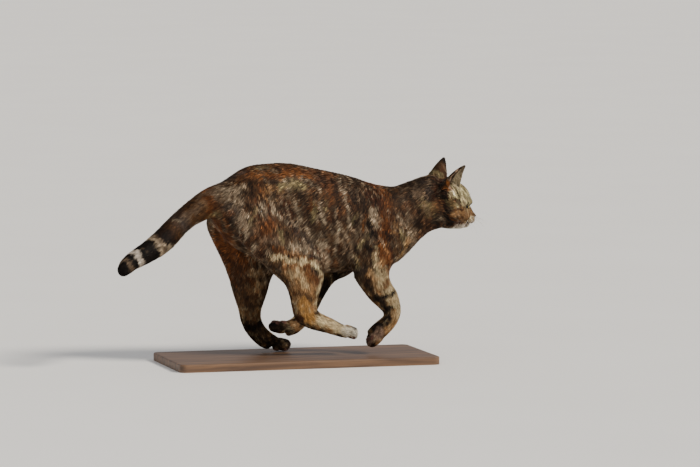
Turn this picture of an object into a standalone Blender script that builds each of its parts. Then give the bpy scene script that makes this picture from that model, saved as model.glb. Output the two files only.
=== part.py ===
"""A short-haired cat running, life size, as a still model on a plain flat base.

+X is the cat's heading, +Y its left, +Z up. The origin is the middle of the underside of the base.
Lengths in the stations are millimetres above the top of the base; the scene is in metres.
"""

import math

import bmesh
import bpy
import numpy as np
from mathutils import Euler, Matrix, Vector

MM = 0.001
GAP = 0.3                      # clearance left where two pieces meet
BASE_LENGTH = 400.0
BASE_WIDTH = 180.0
BASE_THICK = 12.0
BASE_CORNER = 10.0
BASE_ROUND = 2.0

BODY_VOXEL = 1.6
HEAD_VOXEL = 0.8
BODY_TRIANGLES = 5400
HEAD_TRIANGLES = 4100
BODY_ROUNDS = 22               # rounds of smoothing for the broad forms
HEAD_ROUNDS = 80
CRISP_ROUNDS = 4
RING = 28                      # points round each section
STEPS = 4                      # sections added between two stations

HEAD_ORIGIN = (242.3, 5.3, 224.5)
HEAD_YAW = 11.0                # turned to the cat's left
HEAD_PITCH = 13.0              # nose down
HEAD_ROLL = 6.0                # right side lower
NECK_CUT = (217.0, 5.0, 224.0)
NECK_CUT_TILT = 10.0
NECK_CUT_TURN = 8.0
NECK_BOX = (200, 200, 240)     # wider and taller than the neck and the head
TAIL_BOX = (120, 90, 90)
TRUNK_BOX = (300, 240, 330)

EYE_RADIUS = 9.6
EYE_CENTRE = (16.8, 13.4, -1.0)
EYE_TURN = 36.0                # the eye looks this far outward from straight ahead
EYE_LIFT = 4.0
LID_THICK = 1.9
LID_WIDTH = 8.8
LID_HEIGHT = 4.7
LID_SLANT = 14.0

EAR_TIP = 2.0                  # half width at the tip
EAR_THICK = 1.7
EAR_THIN = 1.0                 # at the tip
EAR_WRAP = (118.0, 72.0)       # half the turn of the cup at the base and at the tip
EAR_ROWS = 8
EAR_COLUMNS = 12

TOE = (10.5, 5.3, 9.0)         # half length, half width, half depth
TOE_STEP = 6.0                 # from the middle of one toe to the next
PAW_WIDTH = 28.0
TOE_PAD = (4.6, 3.7, 3.6)
SOLE_PAD = (7.0, 8.6, 4.4)


def clear_scene():
    for thing in list(bpy.data.objects):
        bpy.data.objects.remove(thing, do_unlink=True)


def point(x, y, z):
    """A place above the base, in metres."""
    return Vector((x * MM, y * MM, (z + BASE_THICK) * MM))


def smooth_rows(rows, steps=STEPS):
    """Rows of numbers joined by a smooth curve, with rows added between."""
    data = np.array(rows, dtype=float)
    padded = np.vstack([2 * data[0] - data[1], data, 2 * data[-1] - data[-2]])
    result = []
    for index in range(1, len(padded) - 2):
        p0, p1, p2, p3 = padded[index - 1:index + 3]
        for step in range(steps):
            t = step / steps
            result.append(0.5 * (2 * p1 + (p2 - p0) * t + (2 * p0 - 5 * p1 + 4 * p2 - p3) * t ** 2
                                 + (3 * p1 - p0 - 3 * p2 + p3) * t ** 3))
    result.append(padded[-2])
    return result


def ring_points(centre, across, up, power=2.2, low=0.0):
    """An oval section; low above zero makes it fuller towards its lower side."""
    points = []
    for index in range(RING):
        angle = 2 * math.pi * index / RING
        c, s = math.cos(angle), math.sin(angle)
        c = math.copysign(abs(c) ** (2 / power), c)
        s = math.copysign(abs(s) ** (2 / power), s)
        points.append(centre + across * (c * (1 - low * s)) + up * s)
    return points


def add_loft(shells, rings):
    """A closed skin through the rings, with flat ends."""
    rows = [[shells.verts.new(p) for p in ring] for ring in rings]
    count = len(rows[0])
    for lower, upper in zip(rows, rows[1:]):
        for index in range(count):
            after = (index + 1) % count
            shells.faces.new((lower[index], lower[after], upper[after], upper[index]))
    shells.faces.new(rows[0])
    shells.faces.new(rows[-1])


def add_oval(shells, matrix, radii, segments=24):
    """An ellipsoid whose middle and axes are the matrix's."""
    scale = Matrix.Diagonal((radii[0] * MM, radii[1] * MM, radii[2] * MM, 1.0))
    bmesh.ops.create_uvsphere(shells, u_segments=segments, v_segments=segments // 2 + 2,
                              radius=1.0, matrix=matrix @ scale)


def add_trunk(shells, stations, power=2.3):
    """Upright sections along the body: (x, top, bottom, half width, fullness low down)."""
    rings = []
    for x, top, bottom, half, low in smooth_rows(stations):
        centre = point(x, 0, (top + bottom) / 2)
        rings.append(ring_points(centre, Vector((0, half * MM, 0)),
                                 Vector((0, 0, (top - bottom) / 2 * MM)), power, low))
    add_loft(shells, rings)


def add_limb(shells, stations, power=2.2):
    """Sections from front edge to rear edge: (front x, front z, rear x, rear z, y, half width)."""
    rings = []
    for fx, fz, rx, rz, y, half in smooth_rows(stations):
        front, rear = point(fx, y, fz), point(rx, y, rz)
        rings.append(ring_points((front + rear) / 2, Vector((0, half * MM, 0)),
                                 (front - rear) / 2, power))
    add_loft(shells, rings)


def add_tube(shells, stations):
    """Round sections square to a path: (x, y, z, radius)."""
    rows = smooth_rows(stations)
    spots = [point(*row[:3]) for row in rows]
    rings = []
    for index, row in enumerate(rows):
        before, after = spots[max(index - 1, 0)], spots[min(index + 1, len(spots) - 1)]
        along = (after - before).normalized()
        side = Vector((0, 0, 1)).cross(along).normalized()
        up = along.cross(side)
        rings.append(ring_points(spots[index], side * row[3] * MM, up * row[3] * MM, 2.0))
    add_loft(shells, rings)


# Stations of the body

TRUNK = [
    (-131, 243, 214, 16, 0.0),
    (-122, 255, 192, 27, 0.0),
    (-102, 269, 168, 36, 0.0),
    (-76, 284, 152, 40, 0.0),
    (-44, 288.5, 141, 42, 0.05),
    (-10, 288, 131, 45, 0.10),
    (30, 279.5, 122, 49, 0.12),
    (62, 272.5, 122, 49, 0.12),
    (90, 265, 124, 46, 0.14),
    (116, 256, 122, 43, 0.16),
    (140, 250, 130, 38, 0.12),
    (160, 250, 146, 31, 0.05),
]
NECK = [
    (108, 254, 118, 134, 0, 38),
    (134, 252, 150, 131, 1, 37),
    (153, 249, 172, 146, 2, 35),
    (176, 256, 191, 165, 4, 33),
    (196, 262, 210, 179, 6, 32),
    (214, 266, 228, 184, 8, 31),
    (230, 253, 242, 197, 8, 24),
]
TAIL = [
    (-104, 0, 240, 24),
    (-126, 0, 234, 22.5),
    (-145.2, -2, 225, 20.5),
    (-170.6, -9, 211, 17.5),
    (-190.3, -17, 196, 17.5),
    (-209.4, -26, 179.5, 18),
    (-228.9, -35, 167.4, 17),
    (-249.5, -44, 157.6, 15),
    (-266.5, -52, 149.5, 13.5),
    (-277.3, -58, 140.5, 11.5),
    (-284, -61, 131.5, 7),
]

NEAR_HIND = [
    (-35, 262, -112, 245, -20, 15),
    (-14, 226, -121, 222, -27, 18),
    (10, 196, -105, 195, -32, 21),
    (26, 171, -90, 168, -36, 21),
    (33, 149, -72, 150, -39, 20),
    (33, 129, -50, 129, -41, 18.5),
    (29.5, 110, -29, 110, -42, 16.5),
    (25, 95, -22.5, 95, -42, 15),
    (21.7, 83, -19.5, 83, -41, 13.5),
    (21.1, 71, -17, 70.5, -40, 12.5),
    (26, 60, -13, 57, -39, 11),
]
NEAR_HIND_FOOT = [
    (10, 84, -16, 64, -39.5, 10.5),
    (22, 71, -8, 51.5, -39, 11.5),
    (29.5, 65, 10.8, 41.4, -38, 12),
    (45, 57.5, 33, 35.5, -37, 12.5),
    (61.4, 48, 52, 30, -36, 13),
    (74, 42, 66, 25, -35.5, 13),
]
FAR_HIND = [
    (-45, 262, -112, 245, 20, 15),
    (-30, 235, -124, 232, 26, 18),
    (-15, 205, -131.5, 201, 30, 20),
    (-8, 180, -126, 181, 33, 20),
    (-8, 155, -114, 157, 35, 19),
    (-17, 130, -102, 132, 35, 17.5),
    (-29, 112, -94, 110, 34, 15.5),
    (-34, 95, -90, 93, 33, 14),
    (-39.5, 80, -85, 78, 32, 13),
    (-45, 66.7, -81.4, 66, 31, 12),
    (-44.5, 52, -76, 46, 35, 11.5),
    (-37, 39, -64.5, 26.3, 39, 12),
    (-27.3, 29.7, -48.3, 10.5, 41, 12.5),
    (-16.3, 22, -34.3, 3, 41.5, 13),
]
NEAR_FORE = [
    (136, 244, 98, 250, -18, 7),
    (150, 222, 86, 230, -27, 11),
    (163, 184, 82, 190, -33, 15.5),
    (154, 152, 76, 158, -37, 17),
    (135, 128.5, 76, 125, -39, 17),
    (136.5, 110.4, 90, 101, -38, 15.5),
    (146.7, 95, 105, 82, -37, 14),
    (152.9, 76.8, 120, 69, -34, 12.5),
    (154.5, 61, 128.7, 58.6, -32, 12),
    (148.3, 44.2, 119, 50, -30, 12.5),
    (139, 33, 108, 41, -29, 13),
    (127, 22.5, 101, 32, -28.5, 13),
]
FAR_FORE = [
    (136, 244, 98, 250, 18, 7),
    (150, 222, 90, 228, 27, 11),
    (155, 184, 80, 190, 33, 15),
    (137, 148, 66, 165, 37, 16),
    (94, 114, 58, 146, 38, 15),
    (70, 104, 45, 123, 36, 13.5),
    (51, 78, 28, 95, 34, 12),
    (36.5, 54, 12.5, 69, 26, 11.5),
    (22, 41, 5, 58, 21, 12),
    (6, 29.6, -3, 52, 16, 12.5),
    (-11.6, 25, -12, 49, 13.5, 13),
]


# Each paw: knuckles, toe tips, y; a paw whose toes point to the rear is folded, with its pads upward
PAWS = [
    ((59.6, 40), (89, 31.5), -35.5),
    ((-26.3, 13.2), (3.7, 10.4), 41.5),
    ((130, 36), (103.5, 12.5), -28.5),
    ((-8.6, 38), (-39.5, 42.3), 13),
]


def add_paw(shells, knuckle, tip, y):
    """Four toes and the pads, from the knuckles to the toe tips."""
    start, end = point(knuckle[0], y, knuckle[1]), point(tip[0], y, tip[1])
    along = (end - start).normalized()
    side = Vector((0, 1, 0))
    up = along.cross(side).normalized()
    frame = Matrix((along, side, up)).transposed().to_4x4()
    reach = (end - start).length / MM
    for lane in (-1.5, -0.5, 0.5, 1.5):
        outer = abs(lane) > 1
        back = 4.0 if outer else 0.0
        place = start + along * (reach - TOE[0] - back) * MM + side * lane * TOE_STEP * MM
        spread = Matrix.Rotation(math.radians(-5 * lane), 4, "Z")
        toe = Matrix.Translation(place - up * (1.0 if outer else 0.0) * MM) @ frame @ spread
        add_oval(shells, toe, TOE)
        pad = Matrix.Translation(place + along * 2.6 * MM - up * (TOE[2] - 1.6) * MM) @ frame @ spread
        add_oval(shells, pad, TOE_PAD, 16)
    sole = Matrix.Translation(start + along * (reach - 22) * MM - up * (TOE[2] - 1.2) * MM) @ frame
    add_oval(shells, sole, SOLE_PAD)
    web = Matrix.Translation(start + along * (reach - 18) * MM) @ frame
    add_oval(shells, web, (13, PAW_WIDTH / 2 - 0.4, TOE[2] + 0.8))


# The head, in its own frame: x to the nose, y to its left, z up, millimetres

def head_matrix():
    turn = Euler((math.radians(HEAD_ROLL), math.radians(HEAD_PITCH), math.radians(HEAD_YAW)), "XYZ")
    return Matrix.Translation(point(*HEAD_ORIGIN)) @ turn.to_matrix().to_4x4()


HEAD = head_matrix()


def head_spot(x, y, z, turn=(0, 0, 0)):
    angles = Euler([math.radians(value) for value in turn], "XYZ")
    return HEAD @ Matrix.Translation(Vector((x, y, z)) * MM) @ angles.to_matrix().to_4x4()


def add_head_mass(shells):
    """Skull, cheeks, muzzle and jaw, common to the head and to the rear of the neck."""
    add_oval(shells, head_spot(-5, 0, 5), (37.5, 29, 28), 32)
    add_oval(shells, head_spot(0, 0, -13), (30, 28, 21), 32)
    add_oval(shells, head_spot(10, 0, -21.5), (21, 19, 12.5), 32)
    add_oval(shells, head_spot(2, 0, -25), (30, 19, 17), 32)
    for side in (-1, 1):
        add_oval(shells, head_spot(3, side * 18.5, -11), (21, 15.5, 18))
        add_oval(shells, head_spot(-17, side * 17.5, 12, (side * 20, 0, 0)), (19, 12, 14))


def add_face_mass(shells):
    """The broad forms of the face, blended into the skull."""
    add_oval(shells, head_spot(30, 0, -16.5), (14, 14, 11))
    add_oval(shells, head_spot(19, 0, -28), (19, 13, 11.3))
    for side in (-1, 1):
        add_oval(shells, head_spot(16, side * 14.5, -12.5, (0, 12, side * 24)), (16.5, 9.5, 12.5))
        add_oval(shells, head_spot(21.5, side * 10.5, 6.5, (0, 12, side * 20)), (11.5, 10.5, 8.6))
    add_limb_local(shells, [(12, 16, 9, 4, 11), (22, 10, 19, -2, 9.5), (31, 4.5, 27, -8, 8.0),
                            (38, -2.5, 34, -14, 7.2), (45, -8.6, 42, -19, 6.2)])


def add_face(shells):
    """The crisp forms: brow, lids, bridge and tip of the nose, pads, lips and chin."""
    add_limb_local(shells, [(30, 4.5, 26, -6, 6.8), (37, -1.2, 33, -12, 6.2), (41.2, -5.6, 37.5, -15, 6.0),
                            (46, -9, 42.5, -18, 5.6), (49, -11.2, 46, -18.5, 4.6)])
    add_oval(shells, head_spot(33.5, 0, -28.4), (9.0, 8.2, 6.4))
    add_oval(shells, head_spot(46.4, 0, -14.0, (0, -18, 0)), (3.6, 5.0, 4.6), 20)
    for side in (-1, 1):
        add_oval(shells, head_spot(35.4, side * 7.2, -19.3, (0, 0, side * 18)), (10.2, 8.0, 7.4))
        add_oval(shells, head_spot(23.0, side * 12.0, 6.4, (0, 14, side * 22)), (8.8, 8.4, 4.4))
        add_oval(shells, head_spot(46.8, side * 3.6, -13.4), (3.0, 2.7, 2.8), 16)
        eye = eye_matrix(side)
        lid = EYE_RADIUS + LID_THICK
        add_oval(shells, eye, (lid, lid, lid), 28)


def add_limb_local(shells, stations):
    """The bridge of the nose: (top x, top z, low x, low z, half width) in the head's frame."""
    rings = []
    for tx, tz, lx, lz, half in smooth_rows(stations):
        top = HEAD @ (Vector((tx, 0, tz)) * MM)
        low = HEAD @ (Vector((lx, 0, lz)) * MM)
        across = HEAD.to_3x3() @ Vector((0, half * MM, 0))
        rings.append(ring_points((top + low) / 2, across, (top - low) / 2, 2.4))
    add_loft(shells, rings)


def eye_matrix(side):
    x, y, z = EYE_CENTRE
    return head_spot(x, side * y, z, (0, -EYE_LIFT, side * EYE_TURN))


# Mesh helpers

def new_object(name, shells, collection):
    mesh = bpy.data.meshes.new(name)
    shells.to_mesh(mesh)
    shells.free()
    thing = bpy.data.objects.new(name, mesh)
    collection.objects.link(thing)
    return thing


def apply_all(thing):
    """Replaces the object's mesh with the result of its modifiers."""
    graph = bpy.context.evaluated_depsgraph_get()
    graph.update()
    done = bpy.data.meshes.new_from_object(thing.evaluated_get(graph))
    thing.modifiers.clear()
    old = thing.data
    thing.data = done
    bpy.data.meshes.remove(old)


def triangulate(thing):
    work = bmesh.new()
    work.from_mesh(thing.data)
    bmesh.ops.triangulate(work, faces=work.faces)
    work.to_mesh(thing.data)
    work.free()


def largest_surface(thing):
    """Keeps the largest connected surface and drops loose crumbs."""
    work = bmesh.new()
    work.from_mesh(thing.data)
    left = set(work.faces)
    groups = []
    while left:
        start = left.pop()
        group = [start]
        stack = [start]
        while stack:
            face = stack.pop()
            for edge in face.edges:
                for other in edge.link_faces:
                    if other in left:
                        left.remove(other)
                        group.append(other)
                        stack.append(other)
        groups.append(group)
    groups.sort(key=len)
    for group in groups[:-1]:
        bmesh.ops.delete(work, geom=group, context="FACES")
    loose = [vert for vert in work.verts if not vert.link_faces]
    bmesh.ops.delete(work, geom=loose, context="VERTS")
    work.to_mesh(thing.data)
    work.free()


def boolean(thing, other, operation):
    mod = thing.modifiers.new("cut", "BOOLEAN")
    mod.operation = operation
    mod.solver = "EXACT"
    mod.object = other
    apply_all(thing)


def fuse(thing, voxel, rounds):
    """One closed skin over all the shells, smoothed."""
    wrap = thing.modifiers.new("wrap", "REMESH")
    wrap.mode = "VOXEL"
    wrap.voxel_size = voxel * MM
    apply_all(thing)
    soft = thing.modifiers.new("soft", "SMOOTH")
    soft.factor = 0.5
    soft.iterations = rounds
    apply_all(thing)


def thin_out(thing, triangles):
    """Fewer triangles, more of them kept where the form turns."""
    thin = thing.modifiers.new("thin", "DECIMATE")
    thin.ratio = triangles / (2.0 * len(thing.data.polygons))
    apply_all(thing)
    triangulate(thing)
    largest_surface(thing)


def moulded(name, collection, voxel, rounds, broad, crisp, triangles):
    """Broad forms are blended well, crisp ones are laid over them and blended a little."""
    base = bmesh.new()
    broad(base)
    thing = new_object(name, base, collection)
    fuse(thing, voxel, rounds)
    both = bmesh.new()
    both.from_mesh(thing.data)
    crisp(both)
    both.to_mesh(thing.data)
    both.free()
    fuse(thing, voxel, CRISP_ROUNDS)
    thin_out(thing, triangles)
    return thing


def box_object(name, matrix, size, grow=0.0):
    shells = bmesh.new()
    scale = Matrix.Diagonal([(value + 2 * grow) * MM for value in size] + [1.0])
    bmesh.ops.create_cube(shells, size=1.0, matrix=matrix @ scale)
    return guide_object(name, shells)


def guide_object(name, shells):
    guide = new_object(name, shells, GUIDES)
    guide.hide_render = True
    guide.display_type = "WIRE"
    return guide


def leg_box(start, toward, length, depth, inner, outer):
    """A box that begins at start, runs along the limb, and spans depth (front, rear) and two y values."""
    sx, sz = start
    dx, dz = toward[0] - sx, toward[1] - sz
    size = math.hypot(dx, dz)
    along = Vector((dx / size, 0, dz / size))
    across = Vector((-along.z, 0, along.x))
    middle = point(sx, (inner + outer) / 2, sz) + along * length / 2 * MM
    middle += across * (depth[0] - depth[1]) / 2 * MM
    frame = Matrix((along, Vector((0, 1, 0)), across)).transposed().to_4x4()
    return Matrix.Translation(middle) @ frame, (length, abs(outer - inner), depth[0] + depth[1])


def part_off(body, name, matrix, size):
    """Takes the piece of the body inside the box as its own node, with a clearance round it."""
    piece = bpy.data.objects.new(name, body.data.copy())
    CAT.objects.link(piece)
    cutter = box_object(name + "_inside", matrix, size)
    room = box_object(name + "_outside", matrix, size, GAP)
    for low, high in MORE_ROOM.get(name, ()):
        middle = [(a + b) / 2 for a, b in zip(low, high)]
        spans = [b - a for a, b in zip(low, high)]
        for thing, grow in ((cutter, 0.0), (room, GAP)):
            extra = box_object("extra", Matrix.Translation(point(*middle)), spans, grow)
            boolean(thing, extra, "UNION")
            bpy.data.objects.remove(extra, do_unlink=True)
    boolean(piece, cutter, "INTERSECT")
    boolean(body, room, "DIFFERENCE")
    for thing in (cutter, room):
        bpy.data.objects.remove(thing, do_unlink=True)
    largest_surface(piece)
    return piece


def finish_node(thing, colour, roughness):
    """A tidy closed mesh, smooth where it is round, with its own material."""
    work = bmesh.new()
    work.from_mesh(thing.data)
    bmesh.ops.remove_doubles(work, verts=work.verts, dist=0.00004)
    bmesh.ops.dissolve_degenerate(work, edges=work.edges, dist=0.00003)
    bmesh.ops.triangulate(work, faces=work.faces)
    bmesh.ops.recalc_face_normals(work, faces=work.faces)
    work.to_mesh(thing.data)
    work.free()
    for face in thing.data.polygons:
        face.use_smooth = True
    thing.data.set_sharp_from_angle(angle=math.radians(50))
    skin = bpy.data.materials.new(thing.name + "_finish")
    skin.use_nodes = True
    shader = skin.node_tree.nodes["Principled BSDF"]
    shader.inputs["Base Color"].default_value = (*colour, 1.0)
    shader.inputs["Roughness"].default_value = roughness
    shader.inputs["Metallic"].default_value = 0.0
    thing.data.materials.clear()
    thing.data.materials.append(skin)


# The body, made whole and then parted

def body_broad(shells):
    add_trunk(shells, TRUNK)
    add_limb(shells, NECK)
    add_tube(shells, TAIL)
    for stations in (NEAR_HIND, NEAR_HIND_FOOT, FAR_HIND, NEAR_FORE, FAR_FORE):
        add_limb(shells, stations)
    bmesh.ops.recalc_face_normals(shells, faces=shells.faces)


def body_crisp(shells):
    start = len(shells.faces)
    for paw in PAWS:
        add_paw(shells, *paw)
    add_head_mass(shells)
    shells.faces.ensure_lookup_table()
    bmesh.ops.recalc_face_normals(shells, faces=shells.faces[start:])


def head_broad(shells):
    add_limb(shells, NECK)
    add_head_mass(shells)
    add_face_mass(shells)
    bmesh.ops.recalc_face_normals(shells, faces=shells.faces)


def head_crisp(shells):
    start = len(shells.faces)
    add_face(shells)
    shells.faces.ensure_lookup_table()
    bmesh.ops.recalc_face_normals(shells, faces=shells.faces[start:])


def neck_frame():
    turn = Euler((0, math.radians(-NECK_CUT_TILT), math.radians(NECK_CUT_TURN)), "XYZ")
    return Matrix.Translation(point(*NECK_CUT)) @ turn.to_matrix().to_4x4()


def neck_box(name, way):
    """All that lies ahead of the cut through the neck, or behind it when way is -1."""
    reach = Matrix.Translation(Vector((way * NECK_BOX[0] / 2 * MM, 0, 0)))
    return box_object(name, neck_frame() @ reach, NECK_BOX, GAP / 2)


# Further boxes of a piece: low corner, high corner
MORE_ROOM = {"hindfoot_l": (((-50, 24, -2), (8, 80, 23.5)), ((-50, 29, 20), (-14, 80, 62)))}

LEG_PARTS = [
    ("forepaw_r", (135, 57), (135, 10), 55, (35, 50), -70, -8),
    ("hindfoot_l", (-62, 62), (-62, 0), 64, (21.5, 40), 18, 80),
    ("forepaw_l", (27, 60), (-10, 12), 92, (60, 60), -15, 60),
    ("hindfoot_r", (0, 73), (0, 10), 70, (94, 40), -80, -14),
    ("shank_r", (0, 139), (0, 72), 75, (60, 90), -80, -23),
    ("thigh_r", (-80, 221), (5, 149), 150, (42, 110), -80, -22),
    ("shank_l", (-60, 138), (-60, 62), 85, (60, 60), 14, 80),
    ("thigh_l", (-55, 218), (-53, 137), 90, (40, 90), 20, 80),
    ("forearm_r", (115, 121), (115, 57), 72, (55, 60), -80, -14),
    ("upper_arm_r", (156, 176), (112, 131), 90, (45, 38), -80, -21),
    ("forearm_l", (82, 126), (27, 60), 94, (34, 34), 10, 70),
    ("upper_arm_l", (156, 176), (100, 136), 104, (45, 38), 21, 80),
]


def build_legs(body):
    for name, start, toward, length, depth, inner, outer in LEG_PARTS:
        matrix, size = leg_box(start, toward, length, depth, inner, outer)
        part_off(body, name, matrix, size)


def build_tail(body):
    """Four lengths, parted square to the path."""
    spots = [point(*row[:3]) for row in TAIL]
    cuts = [2, 4, 6, 8]
    for number, index in reversed(list(enumerate(cuts, 1))):
        along = (spots[index + 1] - spots[index - 1]).normalized()
        frame = along.to_track_quat("X", "Z").to_matrix().to_4x4()
        middle = spots[index] + along * TAIL_BOX[0] / 2 * MM
        part_off(body, f"tail_{number}", Matrix.Translation(middle) @ frame, TAIL_BOX)


def build_trunk_pieces(body):
    """Neck, chest and abdomen are taken in turn; what stays is the rump."""
    ahead = neck_box("ahead", 1)
    boolean(body, ahead, "DIFFERENCE")
    bpy.data.objects.remove(ahead, do_unlink=True)
    largest_surface(body)
    slabs = (("neck", 152, 18), ("chest", 52, 0), ("abdomen", -52, 0))
    for name, x, tilt in slabs:
        turn = Matrix.Rotation(math.radians(-tilt), 4, "Y")
        frame = Matrix.Translation(point(x, 0, 205)) @ turn
        reach = Matrix.Translation(Vector((TRUNK_BOX[0] / 2 * MM, 0, 0)))
        part_off(body, name, frame @ reach, TRUNK_BOX)
    body.name = "rump"
    GUIDES.objects.unlink(body)
    CAT.objects.link(body)
    largest_surface(body)


# Head details

def add_cord(shells, points, radius, count=8):
    """A round cutter along a path of points in the head's frame."""
    rows = smooth_rows([(*p, radius) for p in points], 3)
    spots = [HEAD @ (Vector(row[:3]) * MM) for row in rows]
    rings = []
    for index, row in enumerate(rows):
        before, after = spots[max(index - 1, 0)], spots[min(index + 1, len(spots) - 1)]
        along = (after - before).normalized()
        side = along.orthogonal().normalized() if index == 0 else side - along * side.dot(along)
        side.normalize()
        up = along.cross(side)
        ring = []
        for step in range(count):
            angle = 2 * math.pi * step / count
            ring.append(spots[index] + (side * math.cos(angle) + up * math.sin(angle)) * row[3] * MM)
        rings.append(ring)
    add_loft(shells, rings)


def cut_with(thing, shells):
    bmesh.ops.recalc_face_normals(shells, faces=shells.faces)
    cutter = guide_object("cutter", shells)
    boolean(thing, cutter, "DIFFERENCE")
    bpy.data.objects.remove(cutter, do_unlink=True)


def lid_opening(shells, side):
    """An almond prism along the line of sight, pointed at both corners of the eye."""
    eye = eye_matrix(side)
    tilt = Matrix.Rotation(math.radians(-side * LID_SLANT), 4, "X")
    rings = []
    for depth, size in ((4.0, 0.86), (16.0, 1.35)):
        ring = []
        for step in range(20):
            angle = 2 * math.pi * step / 20
            c, s = math.cos(angle), math.sin(angle)
            across = LID_WIDTH * c * size
            height = LID_HEIGHT * math.copysign(abs(s) ** 1.35, s) * size
            height *= 1.0 if s > 0 else 0.85
            ring.append(eye @ tilt @ (Vector((depth, across, height)) * MM))
        rings.append(ring)
    add_loft(shells, rings)


def carve_head(head):
    """Sockets, lid openings, nostrils, the split under the nose and the line of the mouth."""
    for side in (-1, 1):
        shells = bmesh.new()
        room = EYE_RADIUS + GAP
        add_oval(shells, eye_matrix(side), (room, room, room), 20)
        cut_with(head, shells)
        shells = bmesh.new()
        lid_opening(shells, side)
        cut_with(head, shells)
        shells = bmesh.new()
        add_cord(shells, [(51.5, side * 2.3, -15.6), (49.0, side * 2.9, -15.2), (46.6, side * 4.6, -14.2),
                          (45.2, side * 6.6, -13.4)], 1.05)
        cut_with(head, shells)
        shells = bmesh.new()
        add_cord(shells, [(46.0, side * 0.5, -22.8), (44.0, side * 4.0, -25.3), (39.0, side * 9.2, -26.6),
                          (31.5, side * 13.3, -26.0), (23.0, side * 16.8, -23.6)], 0.85)
        cut_with(head, shells)
    shells = bmesh.new()
    add_cord(shells, [(49.2, 0, -17.0), (47.4, 0, -20.0), (45.6, 0, -23.8)], 0.7)
    cut_with(head, shells)


# Ears

def ear_shell(side, base, tip, turn, half_base):
    """A cup open to one side, narrowing to its tip: the back and the hollow are cut alike."""
    base, tip = Vector(base) * MM, Vector(tip) * MM
    axis = (tip - base).normalized()
    facing = Vector((math.cos(math.radians(turn)), side * math.sin(math.radians(turn)), 0))
    facing = (facing - axis * facing.dot(axis)).normalized()
    across = axis.cross(facing)
    height = (tip - base).length
    rows, columns = EAR_ROWS, EAR_COLUMNS
    shells = bmesh.new()
    skins = []
    for inner in (0, 1):
        grid = []
        for row in range(rows + 1):
            t = row / rows
            width = half_base * MM * (1 - t) ** 0.88 * (1 + 0.3 * t) + EAR_TIP * MM
            bend = math.radians(EAR_WRAP[0] + (EAR_WRAP[1] - EAR_WRAP[0]) * t)
            thick = (EAR_THICK + (EAR_THIN - EAR_THICK) * t) * MM
            radius = width - inner * min(thick, width * 0.6)
            curve = axis * height * t - facing * 1.5 * MM * math.sin(math.pi * t)
            line = []
            for column in range(columns + 1):
                angle = bend * (2 * column / columns - 1)
                spot = base + curve - facing * math.cos(angle) * radius * 0.9
                spot += across * math.sin(angle) * radius
                lean = 0.10 * height * t * (1 - math.cos(angle)) * 0.5
                line.append(shells.verts.new(HEAD @ (spot + facing * lean)))
            grid.append(line)
        skins.append(grid)
    outer, inner = skins
    for row in range(rows):
        for column in range(columns):
            for grid in (outer, inner):
                shells.faces.new((grid[row][column], grid[row][column + 1],
                                  grid[row + 1][column + 1], grid[row + 1][column]))
    for row in range(rows):
        for column in (0, columns):
            shells.faces.new((outer[row][column], outer[row + 1][column],
                              inner[row + 1][column], inner[row][column]))
    for column in range(columns):
        for row in (0, rows):
            shells.faces.new((outer[row][column], outer[row][column + 1],
                              inner[row][column + 1], inner[row][column]))
    bmesh.ops.recalc_face_normals(shells, faces=shells.faces)
    return shells


EARS = (
    ("ear_r", -1, (-16, -20.5, 16), (-9.8, -37, 60.2), 62, 15.4),
    ("ear_l", 1, (-19, 20.5, 18), (-9.3, 34.5, 60.7), 42, 15.7),
)


def build_ears(head):
    """Each ear is trimmed clear of the head's surface."""
    room = bpy.data.objects.new("head_room", head.data.copy())
    GUIDES.objects.link(room)
    swell = room.modifiers.new("swell", "DISPLACE")
    swell.strength = GAP * MM
    swell.mid_level = 0.0
    apply_all(room)
    for name, side, base, tip, turn, half in EARS:
        ear = new_object(name, ear_shell(side, base, tip, turn, half), CAT)
        triangulate(ear)
        boolean(ear, room, "DIFFERENCE")
        largest_surface(ear)
    bpy.data.objects.remove(room, do_unlink=True)


def build_eyes():
    for name, side in (("eye_r", -1), ("eye_l", 1)):
        shells = bmesh.new()
        add_oval(shells, eye_matrix(side), (EYE_RADIUS, EYE_RADIUS, EYE_RADIUS), 18)
        new_object(name, shells, CAT)


def build_base():
    shells = bmesh.new()
    scale = Matrix.Diagonal((BASE_LENGTH * MM, BASE_WIDTH * MM, BASE_THICK * MM, 1.0))
    bmesh.ops.create_cube(shells, size=1.0, matrix=Matrix.Translation((0, 0, BASE_THICK / 2 * MM)) @ scale)
    upright = [edge for edge in shells.edges if abs(edge.verts[0].co.z - edge.verts[1].co.z) > MM]
    bmesh.ops.bevel(shells, geom=upright, offset=BASE_CORNER * MM, segments=6, profile=0.5,
                    affect="EDGES")
    rim = [edge for edge in shells.edges
           if min(vert.co.z for vert in edge.verts) > (BASE_THICK - 0.01) * MM]
    bmesh.ops.bevel(shells, geom=rim, offset=BASE_ROUND * MM, segments=3, profile=0.5, affect="EDGES")
    new_object("stand_base", shells, CAT)


def flatten_soles(body):
    """The pads of the foot that stands lie flat, just clear of the base."""
    slab = box_object("ground", Matrix.Translation(point(0, 0, GAP - 20)), (700, 400, 40))
    boolean(body, slab, "DIFFERENCE")
    bpy.data.objects.remove(slab, do_unlink=True)


# Colour and roughness
FINISHES = {"stand": ((0.16, 0.10, 0.06), 0.45), "eye": ((0.30, 0.28, 0.08), 0.1)}
COAT_FINISH = ((0.24, 0.15, 0.09), 0.85)


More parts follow.
